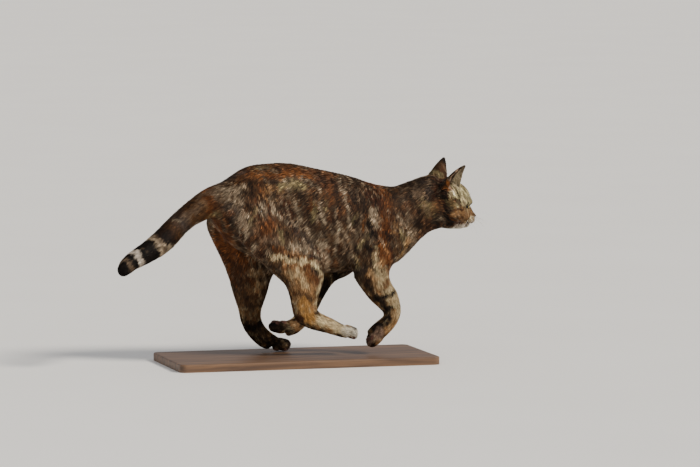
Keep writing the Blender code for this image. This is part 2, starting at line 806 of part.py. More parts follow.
def build():
    body = moulded("body", GUIDES, BODY_VOXEL, BODY_ROUNDS, body_broad, body_crisp, BODY_TRIANGLES)
    head = moulded("head", CAT, HEAD_VOXEL, HEAD_ROUNDS, head_broad, head_crisp, HEAD_TRIANGLES)
    build_ears(head)
    rear = neck_box("rear", -1)
    boolean(head, rear, "DIFFERENCE")
    bpy.data.objects.remove(rear, do_unlink=True)
    carve_head(head)
    largest_surface(head)
    flatten_soles(body)
    build_tail(body)
    build_legs(body)
    build_trunk_pieces(body)
    build_eyes()
    build_base()
    for thing in list(CAT.objects):
        finish_node(thing, *FINISHES.get(thing.name.split("_")[0], COAT_FINISH))


clear_scene()
CAT = bpy.data.collections.new("cat")
GUIDES = bpy.data.collections.new("guides")
for group in (CAT, GUIDES):
    bpy.context.scene.collection.children.link(group)
build()
bpy.context.scene.collection.children.unlink(GUIDES)
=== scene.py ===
"""Looks of the running cat: one skin over the solids, a coat of tufts, eyes, whiskers, base, light, camera.

Places are millimetres above the top of the base, +X the cat's heading and +Y its left, or pixels of the
700 by 467 view where a mark of the coat is seen; both are turned into the frame's metres.
"""

import math

import bmesh
import bpy
import numpy as np
from mathutils import Euler, Matrix, Vector
from mathutils.bvhtree import BVHTree


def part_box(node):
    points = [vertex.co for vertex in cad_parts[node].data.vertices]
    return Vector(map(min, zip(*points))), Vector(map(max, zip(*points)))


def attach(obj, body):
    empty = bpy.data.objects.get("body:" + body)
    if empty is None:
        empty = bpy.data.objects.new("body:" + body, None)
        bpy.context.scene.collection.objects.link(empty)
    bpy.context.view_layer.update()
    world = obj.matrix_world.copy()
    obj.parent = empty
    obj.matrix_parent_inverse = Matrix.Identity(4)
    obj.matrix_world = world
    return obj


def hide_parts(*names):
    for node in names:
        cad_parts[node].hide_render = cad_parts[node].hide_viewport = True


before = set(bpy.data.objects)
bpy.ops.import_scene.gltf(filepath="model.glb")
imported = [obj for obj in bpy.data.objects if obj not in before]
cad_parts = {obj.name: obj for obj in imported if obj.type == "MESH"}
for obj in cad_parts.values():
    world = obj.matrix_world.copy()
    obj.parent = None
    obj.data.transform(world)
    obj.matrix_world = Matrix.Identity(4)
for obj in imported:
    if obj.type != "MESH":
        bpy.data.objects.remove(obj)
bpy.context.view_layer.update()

MM = 0.001
BASE_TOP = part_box("stand_base")[1].z
LIFT = np.array([0.0, 0.0, BASE_TOP])

# Camera: a long lens from the cat's right, a little behind and above
VIEW_SIZE = (700, 467)
VIEW_AZIMUTH = -16.0
VIEW_RISE = 5.0
VIEW_DISTANCE = 7.0
VIEW_LENS = 240.0
VIEW_FILM = 36.0
RAY_STEP = 0.004
PIXEL = VIEW_DISTANCE * VIEW_FILM / VIEW_LENS / VIEW_SIZE[0]
BASE_PIXEL = (296.0, 354.3)      # where the middle of the base's top is seen

# Skin
NOT_FLESH = ("eye_r", "eye_l", "stand_base")
SKIN_VOXEL = 0.8
SKIN_GROW = 0.35
SKIN_TRIANGLES = 190000
FINE_ROUNDS = 4
BROAD_ROUNDS = 36
FOLD_PRESS = (1.3, 1.0)          # depth and width of the mouth's and nose's lines
CLEFT_PRESS = (1.5, 1.6)         # and of the clefts between the toes

# Head frame, as the solids have it
HEAD_ANGLES = (6.0, 13.0, 11.0)
EYE_SPOT = (16.8, 13.4, -1.0)
EYE_TURN = 36.0
EYE_LIFT = 4.0
EYE_RADIUS = 9.6
EYE_REACH = 15                   # no part of a lid is further from the eye's middle
EYE_ROWS = 64
EYE_COLUMNS = 72
CORNEA = 46                      # degrees from the line of sight to the bulge's edge
IRIS_EDGE = (8.1, 8.6)
PUPIL = (1.1, 4.8)               # half its width and height
LID_SLANT = 6.0
LID_SHELL = (8.6, 11.9)          # inner and outer radius of the lids
LID_CORNER = 50.0                # degrees from the line of sight to each corner
LID_OPEN = (7.0, 5.0)            # degrees that the upper and lower lid leave open
LID_HEIGHT = 62.0                # degrees from the line of sight to each lid's outer edge
LID_WIDTH = 72.0
LID_ROWS = 10
LID_COLUMNS = 25
EAR_AXES = (((-16, -20.5, 16), (-9.8, -37, 60.2)), ((-19, 20.5, 18), (-9.3, 34.5, 60.7)))

NOSE_PAD = ((48.5, 0, -13.6), (5.0, 5.8, 4.3))

# Whiskers: height and number of each row on the muzzle, steps along one, radius of a tip
WHISKER_ROWS = ((-15.8, 3), (-18.2, 4), (-20.6, 3))
WHISKER_STEPS = 9
WHISKER_TIP = 0.03
WHISKER_BEND = (-0.55, 0, -0.4)
BROW_BEND = (-0.7, 0, -0.2)

# Paws: knuckles, toe tips, y
PAWS = (
    ((59.6, 40), (89, 31.5), -35.5),
    ((-26.3, 13.2), (3.7, 10.4), 41.5),
    ((130, 36), (103.5, 12.5), -28.5),
    ((-8.6, 38), (-39.5, 42.3), 13),
)
TOE_STEP = 6.0
TOE_LANES = (-1.5, -0.5, 0.5, 1.5)
OUTER_TOE_BACK = 4.0
TOE_HALF = (10.5, 5.3, 9.0)
TOE_CLEFT = ((-19, 1, 8.6), (-11, 1, 8.4), (-3, 1.06, 6.4), (-0.5, 1.08, 1), (-3, 1.06, -5))
PAW_REACH = 40
TOE_PAD = (4.4, 3.6, 4.4)
SOLE_PAD = ((-22, 0, -7.8), (6.8, 8.4, 5.4))

# Guide lines through the body, in the order in which the coat lies
SPINE = ((262, 10, 228), (240, 6, 236), (215, 6, 232), (185, 4, 222), (150, 1, 212), (100, 0, 205),
         (40, 0, 205), (-30, 0, 212), (-80, 0, 222), (-115, 0, 232))
TAIL = ((-104, 0, 240), (-126, 0, 234), (-145, -2, 225), (-171, -9, 211), (-190, -17, 196),
        (-209, -26, 180), (-229, -35, 167), (-250, -44, 158), (-267, -52, 150), (-277, -58, 140),
        (-284, -61, 131))
LEGS = {
    "fore_r": ((118, -20, 236), (122, -33, 187), (112, -37, 155), (106, -39, 126), (113, -38, 106),
               (126, -37, 88), (137, -34, 73), (141, -32, 60), (133, -30, 47), (123, -29, 37),
               (112, -28.5, 20), (103.5, -28.5, 12.5)),
    "fore_l": ((118, 20, 236), (118, 33, 187), (100, 37, 158), (75, 38, 134), (57, 36, 113), (40, 34, 86),
               (24, 26, 61), (13, 21, 49), (1, 16, 41), (-12, 13.5, 38), (-39.5, 13, 42.3)),
    "hind_r": ((-70, -20, 240), (-48, -31, 195), (-30, -36, 170), (-15, -40, 140), (0, -42, 110),
               (2, -42, 83), (5, -40, 66), (15, -39, 58), (39, -37, 46), (60, -36, 39),
               (89, -35.5, 31.5)),
    "hind_l": ((-75, 20, 235), (-72, 31, 203), (-65, 34, 170), (-60, 35, 131), (-61, 33, 94),
               (-63, 31, 66), (-60, 35, 49), (-50, 39, 32), (-38, 41, 20), (-26, 41.5, 13),
               (4, 41.5, 10.4)),
}
LEG_SHARES = (0.0, 0.32, 0.5, 0.82, 0.9, 1.0)      # of its line, from torso to leg and from leg to paw
HEAD_SHARES = (-25, 0, 22)       # x in the head's frame: torso, skull, face
LEG_REACH = 25.0
SPINE_REACH = 110.0
TAIL_PULL = 3                    # weights of the tail's and the spine's lines against the legs'
SPINE_PULL = 0.5
FLANK_FALL = 0.9                 # how far the coat of the flanks turns down, all of it at a distance y
FLANK_OUT = 38
NOSE_BRIDGE = (44.0, 0.0, -8.0)  # place in the head's frame that the hair of the face lies away from
TAIL_BLEND = (-140, -112)        # x between which the tail gives way to the rump
HEAD_BLEND = (-42, -14)          # x in the head's frame between which the neck gives way to the head
HEAD_FROM = 190                  # no part of the head is further back or lower
HEAD_ABOVE = 170
EAR_BLEND = (0.16, 0.36)         # shares of an ear's height between which the skull gives way to it
EAR_BASE_BLEND = (-0.35, -0.15)
EAR_WIDE = (17, 24)              # distance from an ear's axis within which the skin is the ear's

# Quantities of the coat by part of the body: torso, leg, paw, tail, skull, face, ear
TUFT_RATE = (0.6, 0.58, 0.72, 0.66, 0.85, 1.4, 1.3)         # for each square millimetre
TUFT_LENGTH = (10.5, 5.5, 3.0, 9.5, 5.0, 2.6, 2.6)
TUFT_WIDTH = (1.05, 0.85, 0.65, 1.05, 0.75, 0.48, 0.48)
TUFT_HEIGHT = (2.5, 1.3, 0.65, 2.3, 1.2, 0.45, 0.3)
TUFT_SPREAD = (0.4, 0.26, 0.22, 0.3, 0.34, 0.2, 0.18)       # of light and dark between tufts
COAT_DEPTH = (2.6, 1.4, 0.7, 2.4, 1.3, 0.5, 0.3)            # from the solids in to the skin
STREAKINESS = (1.0, 0.5, 0.5, 0.6, 0.9, 0.5, 0.4)
SMOOTHING = (1.0, 0.8, 0.06, 1.0, 0.45, 0.1, 0.03)
EAR_BASE_DEPTH = 0.3

NOISE_WAVES = 20
FAR = 99.0                       # millimetres, for a point that is near nothing of a kind
STROKE_STEP = 5.0                # pixels between the places of a stroke
STROKE_SHAKE = 1.4               # millimetres by which a stroke's edge wanders
TICK_SPREAD = 1.6                # how far one clump of hair is lighter or darker than the next
PATCH_SIZE = 30                  # of the rust patches
BAR_STEP = 2.9                   # millimetres of the flank for each radian of its bars
BAR_LEAN = 0.3
LEG_RINGS = 46                   # radians of bands along a leg
RIDGE_WIDE = (4, 9)              # y within which the back is dark, where it is above a height
RIDGE_FROM = 225
TAIL_TONES = (-118, -134)        # x between which the tail's own tones begin


def spot(x, y, z):
    """A place above the base, in metres."""
    return Vector((x * MM, y * MM, z * MM + BASE_TOP))


def to_mm(points):
    return (np.asarray(points, float) - LIFT) / MM


def noise(points, size, seed):
    """A smooth random field of unit spread whose lumps are about size millimetres across."""
    draw = np.random.default_rng(seed)
    turns = draw.normal(size=(NOISE_WAVES, 3)) * 1.9 / size
    phases = draw.uniform(0, 2 * math.pi, NOISE_WAVES)
    return np.sin(points @ turns.T + phases).sum(1) * math.sqrt(2.0 / NOISE_WAVES)


def soft_step(value, low, high):
    t = np.clip((value - low) / (high - low), 0.0, 1.0)
    return t * t * (3 - 2 * t)


def within(gap, inner, outer):
    """One up to an inner distance, falling to zero at an outer one."""
    return soft_step(-gap, -outer, -inner)


def blend(under, over, mask):
    """One colour or way over another, each single or one for each point, by a mask for each point."""
    return under * (1 - mask)[:, None] + over * mask[:, None]


def shift(points, size, seed):
    """A smooth random shift in three directions, by noise of three seeds in a row."""
    return np.stack([noise(points, size, seed + step) for step in range(3)], 1)


def unit(vectors):
    return vectors / np.maximum(np.linalg.norm(vectors, axis=1, keepdims=True), 1e-9)


# The head's own frame: x to the nose, y to its left, z up

def centre_of(node):
    low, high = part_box(node)
    return (low + high) / 2


HEAD_TURN = Euler([math.radians(value) for value in HEAD_ANGLES], "XYZ").to_matrix()
HEAD_AT = (centre_of("eye_r") + centre_of("eye_l")) / 2
HEAD_AT = HEAD_AT - HEAD_TURN @ (Vector((EYE_SPOT[0], 0, EYE_SPOT[2])) * MM)
HEAD = Matrix.Translation(HEAD_AT) @ HEAD_TURN.to_4x4()


def in_head(points):
    """Points of the scene in the head's frame, in millimetres."""
    turn = np.array(HEAD_TURN)
    return (np.asarray(points, float) - np.array(HEAD_AT)) @ turn / MM


def eye_frame(side):
    angles = Euler((0, math.radians(-EYE_LIFT), math.radians(side * EYE_TURN)), "XYZ")
    centre = centre_of("eye_l" if side > 0 else "eye_r")
    return Matrix.Translation(centre) @ (HEAD_TURN @ angles.to_matrix()).to_4x4()


def in_frame(points, matrix):
    """Points of the scene in a frame's own axes, in millimetres."""
    inverse = np.array(matrix.inverted())
    return (np.asarray(points, float) @ inverse[:3, :3].T + inverse[:3, 3]) / MM


def paw_frames():
    """Each paw's matrix at its toe tips: x along the toes, z to the back of the paw."""
    frames = []
    for knuckle, tip, y in PAWS:
        start, end = spot(knuckle[0], y, knuckle[1]), spot(tip[0], y, tip[1])
        along = (end - start).normalized()
        side = Vector((0, 1, 0))
        up = along.cross(side).normalized()
        turn = Matrix((along, side, up)).transposed().to_4x4()
        frames.append(Matrix.Translation(end) @ turn)
    return frames


# Guide lines

def beside(points, line):
    """Distance to a line of places, length along it, its direction there and the nearest place on it."""
    line = np.array(line, float)
    ways = unit(np.diff(line, axis=0))
    bends = unit(np.vstack([ways[:1], ways[:-1] + ways[1:], ways[-1:]]))
    steps = np.linalg.norm(np.diff(line, axis=0), axis=1)
    starts = np.concatenate([[0.0], np.cumsum(steps)])
    best = np.full(len(points), np.inf)
    length = np.zeros(len(points))
    way = np.zeros((len(points), 3))
    foot = np.zeros((len(points), 3))
    for index, step in enumerate(steps):
        a, b = line[index], line[index + 1]
        t = np.clip((points - a) @ (b - a) / step ** 2, 0.0, 1.0)
        near = a + t[:, None] * (b - a)
        gap = np.linalg.norm(points - near, axis=1)
        closer = gap < best
        best[closer] = gap[closer]
        length[closer] = (starts[index] + t * step)[closer]
        mixed = (1 - t)[:, None] * bends[index] + t[:, None] * bends[index + 1]
        way[closer] = mixed[closer]
        foot[closer] = near[closer]
    return best, length / starts[-1], way, foot


class Lie:
    """How the coat lies at each point: weights of the body's parts, shares along them, and the way."""

    def __init__(self, points):
        mm = to_mm(points)
        head = in_head(points)
        self.mm = mm
        self.head = head
        self.parts = {}
        self.weights = {}
        for name, line in {"spine": SPINE, "tail": TAIL, **LEGS}.items():
            self.parts[name] = beside(mm, line)
            reach = SPINE_REACH if name == "spine" else LEG_REACH
            self.weights[name] = np.exp(-(self.parts[name][0] / reach) ** 2)
        ahead = soft_step(mm[:, 0], *TAIL_BLEND)
        self.weights["tail"] = self.weights["tail"] * (1 - ahead) * TAIL_PULL
        self.weights["spine"] = self.weights["spine"] * SPINE_PULL * (0.02 + 0.98 * ahead)
        self.on_head = soft_step(head[:, 0], *HEAD_BLEND) * (mm[:, 0] > HEAD_FROM) * (mm[:, 2] > HEAD_ABOVE)
        self.on_ear = self.ear_mask(head, *EAR_BLEND)
        self.by_ear = self.ear_mask(head, *EAR_BASE_BLEND)

    def ear_mask(self, head, low, high):
        """One above a share of each ear's height; shares below zero take in the skull round its base."""
        mask = np.zeros(len(head))
        for base, tip in EAR_AXES:
            axis = np.subtract(tip, base)
            share = (head - base) @ axis / (axis @ axis)
            gap = np.linalg.norm(head - base - share[:, None] * axis, axis=1)
            mask = np.maximum(mask, soft_step(share, low, high) * within(gap, *EAR_WIDE))
        return mask * (self.mm[:, 0] > HEAD_FROM)

    def way(self, normals):
        """The direction in which the coat lies, in the skin's surface."""
        total = np.zeros_like(self.mm)
        for name, (gap, share, way, foot) in self.parts.items():
            pull = way.copy()
            if name == "spine":
                pull[:, 2] -= FLANK_FALL * np.clip(np.abs(self.mm[:, 1]) / FLANK_OUT, 0, 1)
            total += self.weights[name][:, None] * pull
        from_nose = self.head - np.array(NOSE_BRIDGE)
        from_nose[:, 1] *= 0.8
        back = unit(from_nose) @ np.array(HEAD_TURN).T
        total = blend(total, back, self.on_head)
        sides = np.sign(self.head[:, 1:2])
        ear_up = unit(np.array([0.1, 0.0, 1.0]) + sides * [0.0, 0.35, 0.0]) @ np.array(HEAD_TURN).T
        total = unit(blend(total, ear_up, self.on_ear))
        flat = total - normals * (total * normals).sum(1)[:, None]
        return unit(flat + 1e-6)

    def mixed(self, torso, leg, paw, tail, skull, face, ear):
        """A quantity that is known for each part of the body, blended between them."""
        top = np.zeros(len(self.mm))
        under = np.full(len(self.mm), 1e-9)
        for name, (gap, share, way, foot) in self.parts.items():
            if name == "spine":
                value = np.full(len(share), torso)
            elif name == "tail":
                value = np.full(len(share), tail)
            else:
                value = np.interp(share, LEG_SHARES, [torso, torso, leg, leg, paw, paw])
            top += self.weights[name] * value
            under += self.weights[name]
        body = top / under
        forward = np.interp(self.head[:, 0], HEAD_SHARES, [torso, skull, face])
        result = body * (1 - self.on_head) + forward * self.on_head
        return result * (1 - self.on_ear) + ear * self.on_ear


# Objects and meshes

def put_in_scene(name, data):
    """A new object of the scene with a mesh, light or camera."""
    thing = bpy.data.objects.new(name, data)
    bpy.context.scene.collection.objects.link(thing)
    return thing


def new_object(name, work):
    """A smooth shaded object of the scene from a mesh in the making."""
    mesh = bpy.data.meshes.new(name)
    work.to_mesh(mesh)
    work.free()
    mesh.shade_smooth()
    return put_in_scene(name, mesh)


def apply_all(thing):
    """Replaces the object's mesh with the result of its modifiers."""
    graph = bpy.context.evaluated_depsgraph_get()
    graph.update()
    done = bpy.data.meshes.new_from_object(thing.evaluated_get(graph))
    thing.modifiers.clear()
    old = thing.data
    thing.data = done
    bpy.data.meshes.remove(old)


def rows_of(items, kind):
    flat = np.empty(len(items) * 3, np.float32)
    items.foreach_get(kind, flat)
    return flat.reshape(-1, 3).astype(float)


def vertices_of(mesh):
    return rows_of(mesh.vertices, "co")


def normals_of(mesh):
    return rows_of(mesh.vertex_normals, "vector")


def put_vertices(mesh, points):
    mesh.vertices.foreach_set("co", points.astype(np.float32).ravel())
    mesh.update()


def put_weights(thing, name, values):
    """A vertex group from an array of weights, in sixteen levels."""
    group = thing.vertex_groups.new(name=name)
    levels = np.round(values * 15).astype(int)
    for level in range(1, 16):
        picked = np.nonzero(levels == level)[0].tolist()
        if picked:
            group.add(picked, level / 15, "REPLACE")


def smooth_all(thing, rounds, group=""):
    soft = thing.modifiers.new("soft", "SMOOTH")
    soft.factor = 0.5
    soft.iterations = rounds
    soft.vertex_group = group
    apply_all(thing)


# Skin

def grown_flesh():
    """All the flesh nodes in one mesh, grown until the clearances between them close."""
    work = bmesh.new()
    for name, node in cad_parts.items():
        if name in NOT_FLESH:
            continue
        part = bmesh.new()
        part.from_mesh(node.data)
        bmesh.ops.remove_doubles(part, verts=part.verts, dist=1e-6)
        part.normal_update()
        moves = [(vert, vert.normal * SKIN_GROW * MM) for vert in part.verts]
        for vert, move in moves:
            vert.co += move
        mesh = bpy.data.meshes.new("part")
        part.to_mesh(mesh)
        part.free()
        work.from_mesh(mesh)
        bpy.data.meshes.remove(mesh)
    add_lids(work)
    return new_object("skin", work)


def lid_edge(turn, upper):
    """How far the edge of a lid is from the eye's middle line, in degrees, at a turn to the side."""
    open_by = LID_OPEN[0] if upper else LID_OPEN[1]
    return open_by * np.clip(1 - (turn / LID_CORNER) ** 2, -0.1, 1)


def lid_frame(side):
    return eye_frame(side) @ Matrix.Rotation(math.radians(-side * LID_SLANT), 4, "X")


def join_shell(work, inner, outer):
    """A closed shell between two grids of vertices."""
    rows, columns = len(inner) - 1, len(inner[0]) - 1
    made = []
    for row in range(rows):
        for column in range(columns):
            for grid in (inner, outer):
                made.append((grid[row][column], grid[row][column + 1],
                             grid[row + 1][column + 1], grid[row + 1][column]))
        for column in (0, columns):
            made.append((inner[row][column], inner[row + 1][column],
                         outer[row + 1][column], outer[row][column]))
    for row in (0, rows):
        for column in range(columns):
            made.append((inner[row][column], inner[row][column + 1],
                         outer[row][column + 1], outer[row][column]))
    faces = [work.faces.new(corners) for corners in made]
    bmesh.ops.recalc_face_normals(work, faces=faces)


def lid_line(turn, upper, radius):
    """Places of one face of a lid from its edge outwards, in the lid's frame."""
    line = []
    for rise in np.linspace(float(lid_edge(turn, upper)), LID_HEIGHT, LID_ROWS):
        a, b = math.radians(turn), math.radians(rise if upper else -rise)
        way = Vector((math.cos(b) * math.cos(a), math.cos(b) * math.sin(a), math.sin(b)))
        line.append(way * radius * MM)
    return line


def add_lids(work):
    """An upper and a lower lid over each eye, as thick shells with an almond gap between them."""
    for side in (-1, 1):
        matrix = lid_frame(side)
        for upper in (True, False):
            turns = np.linspace(-LID_WIDTH, LID_WIDTH, LID_COLUMNS)
            shell = []
            for radius in LID_SHELL:
                lines = (lid_line(turn, upper, radius) for turn in turns)
                shell.append([[work.verts.new(matrix @ place) for place in line] for line in lines])
            join_shell(work, *shell)


def eye_gap(points):
    """How far each point is outside the gap between the lids of the nearer eye, in millimetres."""
    best = np.full(len(points), FAR)
    for side in (-1, 1):
        local = in_frame(points, lid_frame(side))
        radius = np.linalg.norm(local, axis=1)
        turn = np.degrees(np.arctan2(local[:, 1], local[:, 0]))
        rise = np.degrees(np.arcsin(np.clip(local[:, 2] / np.maximum(radius, 1e-6), -1, 1)))
        edge = np.where(rise > 0, lid_edge(turn, True), lid_edge(turn, False))
        beyond = np.maximum(np.abs(turn) - LID_CORNER, 0)
        away = np.hypot(np.maximum(np.abs(rise) - edge, 0), beyond) * math.pi / 180 * LID_SHELL[1]
        away = np.where((radius < EYE_REACH) & (local[:, 0] > 0), away, FAR)
        best = np.minimum(best, away)
    return best


def groove(points, normals, gap, depth, width):
    """Presses a line into the points, given each one's distance from it."""
    press = depth * np.exp(-(gap / width) ** 2)
    return points - normals * press[:, None] * MM


def toe_gap(points):
    """Distance of each point from the nearest line between two toes, over their backs and ends."""
    best = np.full(len(points), FAR)
    for matrix in paw_frames():
        local = in_frame(points, matrix)
        near = np.nonzero(np.linalg.norm(local, axis=1) < PAW_REACH)[0]
        for lane in (-1, 0, 1):
            line = [(x, lane * TOE_STEP * spread, z) for x, spread, z in TOE_CLEFT]
            best[near] = np.minimum(best[near], beside(local[near], line)[0])
    return best


# Lines of the face in the head's frame, on its left side
MOUTH = ((46.0, 0.5, -22.8), (44.0, 4.0, -25.3), (39.0, 9.2, -26.6), (31.5, 13.3, -26.0),
         (23.0, 16.8, -23.6))
NOSTRIL = ((51.2, 1.9, -16.2), (50.0, 2.9, -15.6), (48.2, 4.6, -14.6), (46.8, 6.2, -14.4))
PHILTRUM = ((50.5, 0, -14.5), (49.8, 0, -16.4), (47.6, 0, -20.0), (45.6, 0, -23.8))
FOLDS = []                       # the same lines once they lie on the skin


def both_sides(line):
    return [[(x, side * y, z) for x, y, z in line] for side in (-1, 1)]


def tree_of(skin):
    points = vertices_of(skin.data)
    return BVHTree.FromPolygons(points.tolist(), [tuple(face.vertices) for face in skin.data.polygons])


def on_skin(tree, place):
    """The place of the skin that is nearest to a place in the head's frame."""
    return tree.find_nearest(HEAD @ (Vector(place) * MM))[0]


def build_skin():
    skin = grown_flesh()
    wrap = skin.modifiers.new("wrap", "REMESH")
    wrap.mode = "VOXEL"
    wrap.voxel_size = SKIN_VOXEL * MM
    apply_all(skin)
    points = vertices_of(skin.data)
    lie = Lie(points)
    broad = lie.mixed(*SMOOTHING) * (1 - 0.7 * lie.by_ear * (1 - lie.on_ear))
    put_weights(skin, "broad", broad)
    put_weights(skin, "fine", 1 - 0.75 * lie.on_ear)
    smooth_all(skin, FINE_ROUNDS, "fine")
    smooth_all(skin, BROAD_ROUNDS, "broad")
    points = vertices_of(skin.data)
    depth = coat_depth(Lie(points))
    for _ in range(2):
        points = points - normals_of(skin.data) * (depth / 2 + SKIN_GROW / 2)[:, None] * MM
        put_vertices(skin.data, points)
    tree = tree_of(skin)
    for line in (*both_sides(MOUTH), PHILTRUM, *both_sides(NOSTRIL)):
        FOLDS.append([in_head([on_skin(tree, place)])[0] for place in line])
    for line in FOLDS:
        points = groove(points, normals_of(skin.data), beside(in_head(points), line)[0], *FOLD_PRESS)
    points = groove(points, normals_of(skin.data), toe_gap(points), *CLEFT_PRESS)
    put_vertices(skin.data, points)
    lie = Lie(points)
    spare = 1 - np.clip(lie.on_head + lie.on_ear, 0, 1)
    spare = np.clip(spare - 0.35 * lie.mixed(0, 0.4, 1, 0, 0, 0, 0), 0.0, 1)
    put_weights(skin, "spare", spare)
    thin = skin.modifiers.new("thin", "DECIMATE")
    thin.ratio = SKIN_TRIANGLES / (2.0 * len(skin.data.polygons))
    thin.vertex_group = "spare"
    thin.vertex_group_factor = 1.0
    apply_all(skin)
    skin.vertex_groups.clear()
    skin.data.shade_smooth()
    return skin


def coat_depth(lie):
    """How far the skin lies inside the solids, in millimetres."""
    return lie.mixed(*COAT_DEPTH) * (1 - lie.by_ear) + EAR_BASE_DEPTH * lie.by_ear


# Camera

def view_axes():
    turn, rise = math.radians(VIEW_AZIMUTH), math.radians(VIEW_RISE)
    back = Vector((math.sin(turn) * math.cos(rise), -math.cos(turn) * math.cos(rise), math.sin(rise)))
    right = Vector((math.cos(turn), math.sin(turn), 0))
    return back, right, back.cross(right)


def build_camera():
    back, right, up = view_axes()
    target = Vector((0, 0, BASE_TOP))
    target += right * (VIEW_SIZE[0] / 2 - BASE_PIXEL[0]) * PIXEL
    target += up * (BASE_PIXEL[1] - VIEW_SIZE[1] / 2) * PIXEL
    data = bpy.data.cameras.new("view")
    data.lens = VIEW_LENS
    data.sensor_width = VIEW_FILM
    data.clip_end = 60
    camera = put_in_scene("view", data)
    turn = Matrix((right, up, back)).transposed().to_4x4()
    camera.matrix_world = Matrix.Translation(target + back * VIEW_DISTANCE) @ turn
    bpy.context.scene.camera = camera
    return camera.matrix_world.translation.copy()


class Seen:
    """Turns pixels of the view into places on the near side of the skin."""

    def __init__(self, eye, tree):
        self.eye = eye
        self.tree = tree
        self.back, self.right, self.up = view_axes()

    def place(self, u, v):
        ray = -self.back * VIEW_DISTANCE
        ray += self.right * (u - VIEW_SIZE[0] / 2) * PIXEL + self.up * (VIEW_SIZE[1] / 2 - v) * PIXEL
        ray.normalize()
        hit = self.tree.ray_cast(self.eye, ray)[0]
        if hit is None:          # the ray goes past the cat: the place of the skin nearest to it
            tries = [self.eye + ray * (VIEW_DISTANCE + index * RAY_STEP) for index in range(-60, 60)]
            near = [self.tree.find_nearest(place) for place in tries]
            hit = min(near, key=lambda found: found[3])[0]
        return np.array(hit)

    def line(self, pixels):
        """Places on the skin along a path of pixels, close together."""
        path = [self.place(*pixels[0])]
        for (u, v), (p, q) in zip(pixels, pixels[1:]):
            steps = max(1, round(math.hypot(p - u, q - v) / STROKE_STEP))
            for step in range(1, steps + 1):
                path.append(self.place(u + (p - u) * step / steps, v + (q - v) * step / steps))
        return np.array(path)


# Markings

def tone(red, green, blue):
    """A colour given as eight-bit screen values, made linear."""
    values = np.array([red, green, blue]) / 255.0
    return np.where(values <= 0.04045, values / 12.92, ((values + 0.055) / 1.055) ** 2.4)


def fur(red, green, blue):
    """A tone of hair, deepened because hair shades itself."""
    return tone(red, green, blue) ** FUR_DEPTH * FUR_SHARE


FUR_DEPTH = 1.2
FUR_SHARE = 0.72
BLACK = fur(34, 26, 21)
DARK = fur(54, 38, 26)
BROWN = fur(90, 65, 42)
SLATE = fur(80, 69, 62)
GREY = fur(122, 104, 86)
PALE = fur(176, 158, 134)
KHAKI = fur(154, 140, 104)
TAN = fur(174, 136, 96)
RUST = fur(116, 72, 38)
ORANGE = fur(150, 98, 54)
MAROON = fur(80, 46, 30)
GOLD = fur(196, 150, 90)
CREAM = fur(222, 202, 162)
WHITE = fur(240, 232, 214)
NOSE_SKIN = fur(84, 54, 46)
PAD_SKIN = fur(112, 80, 70)
RIM_SKIN = fur(34, 22, 18)
CUP = fur(226, 208, 176)
BROW = fur(206, 194, 152)
PEACH = fur(240, 200, 166)
CHALK = fur(204, 190, 174)
TOE = fur(152, 126, 108)
EYE_WHITE = tone(96, 74, 58)
IRIS_INNER = tone(142, 122, 52)
IRIS_OUTER = tone(78, 70, 30)
PUPIL_BLACK = tone(10, 9, 8)
WOOD_DARK = tone(74, 52, 37)
WOOD_LIGHT = tone(122, 90, 62)

UNDER_SHADE = 0.7                # the skin's colour against its tufts

# Marks of the face on both sides: tone, width in millimetres, strength, places in the head's frame
FACE_MARKS = (
    (TAN, 15, 0.6, ((30, 10, -10), (18, 17, -12), (8, 20, -14))),
    (KHAKI, 14, 0.5, ((24, 9, 12), (10, 12, 24), (-6, 12, 29))),
    (DARK, 2.2, 0.7, ((25, 2.2, 16), (15, 2.6, 24), (0, 3.2, 30), (-16, 3.6, 31))),
    (DARK, 2.2, 0.7, ((23, 8, 14), (13, 8, 23), (-2, 8.5, 29), (-16, 9, 30))),
    (DARK, 2.4, 0.7, ((17, 15, 10), (6, 17.5, 19), (-6, 18, 24))),
    (PALE, 3.0, 0.7, ((27, 11, 5), (22, 16, 6.5), (15, 20, 4))),
    (PALE, 2.6, 0.7, ((26, 12, -6), (21, 17, -8), (14, 20, -8))),
    (BLACK, 2.6, 0.8, ((13, 21, -2), (5, 25, -4), (-6, 29, -6), (-16, 30, -5))),
    (BLACK, 2.6, 0.7, ((11, 22, -11), (2, 26, -14), (-9, 28, -15), (-20, 28, -12))),
    (DARK, 2.0, 0.8, ((27, 8.5, -2), (33, 7, -8), (39, 6, -12))),
    (TAN, 4.0, 0.7, ((32, 0, 1), (40, 0, -6), (46, 0, -10))),
    (CREAM, 9.0, 0.85, ((44, 4.5, -18.5), (38, 8, -19.5), (33, 10, -20.5))),
    (WHITE, 12, 0.9, ((42, 2, -29), (35, 4, -33), (24, 6, -37), (12, 6, -39))),
    (DARK, 1.0, 0.7, ((43.5, 6.4, -16.4), (38.5, 9.6, -16.6), (33.5, 11.6, -17.4))),
    (DARK, 1.0, 0.7, ((43.0, 6.8, -19.2), (38, 10.2, -19.8), (33, 12.2, -20.6))),
)
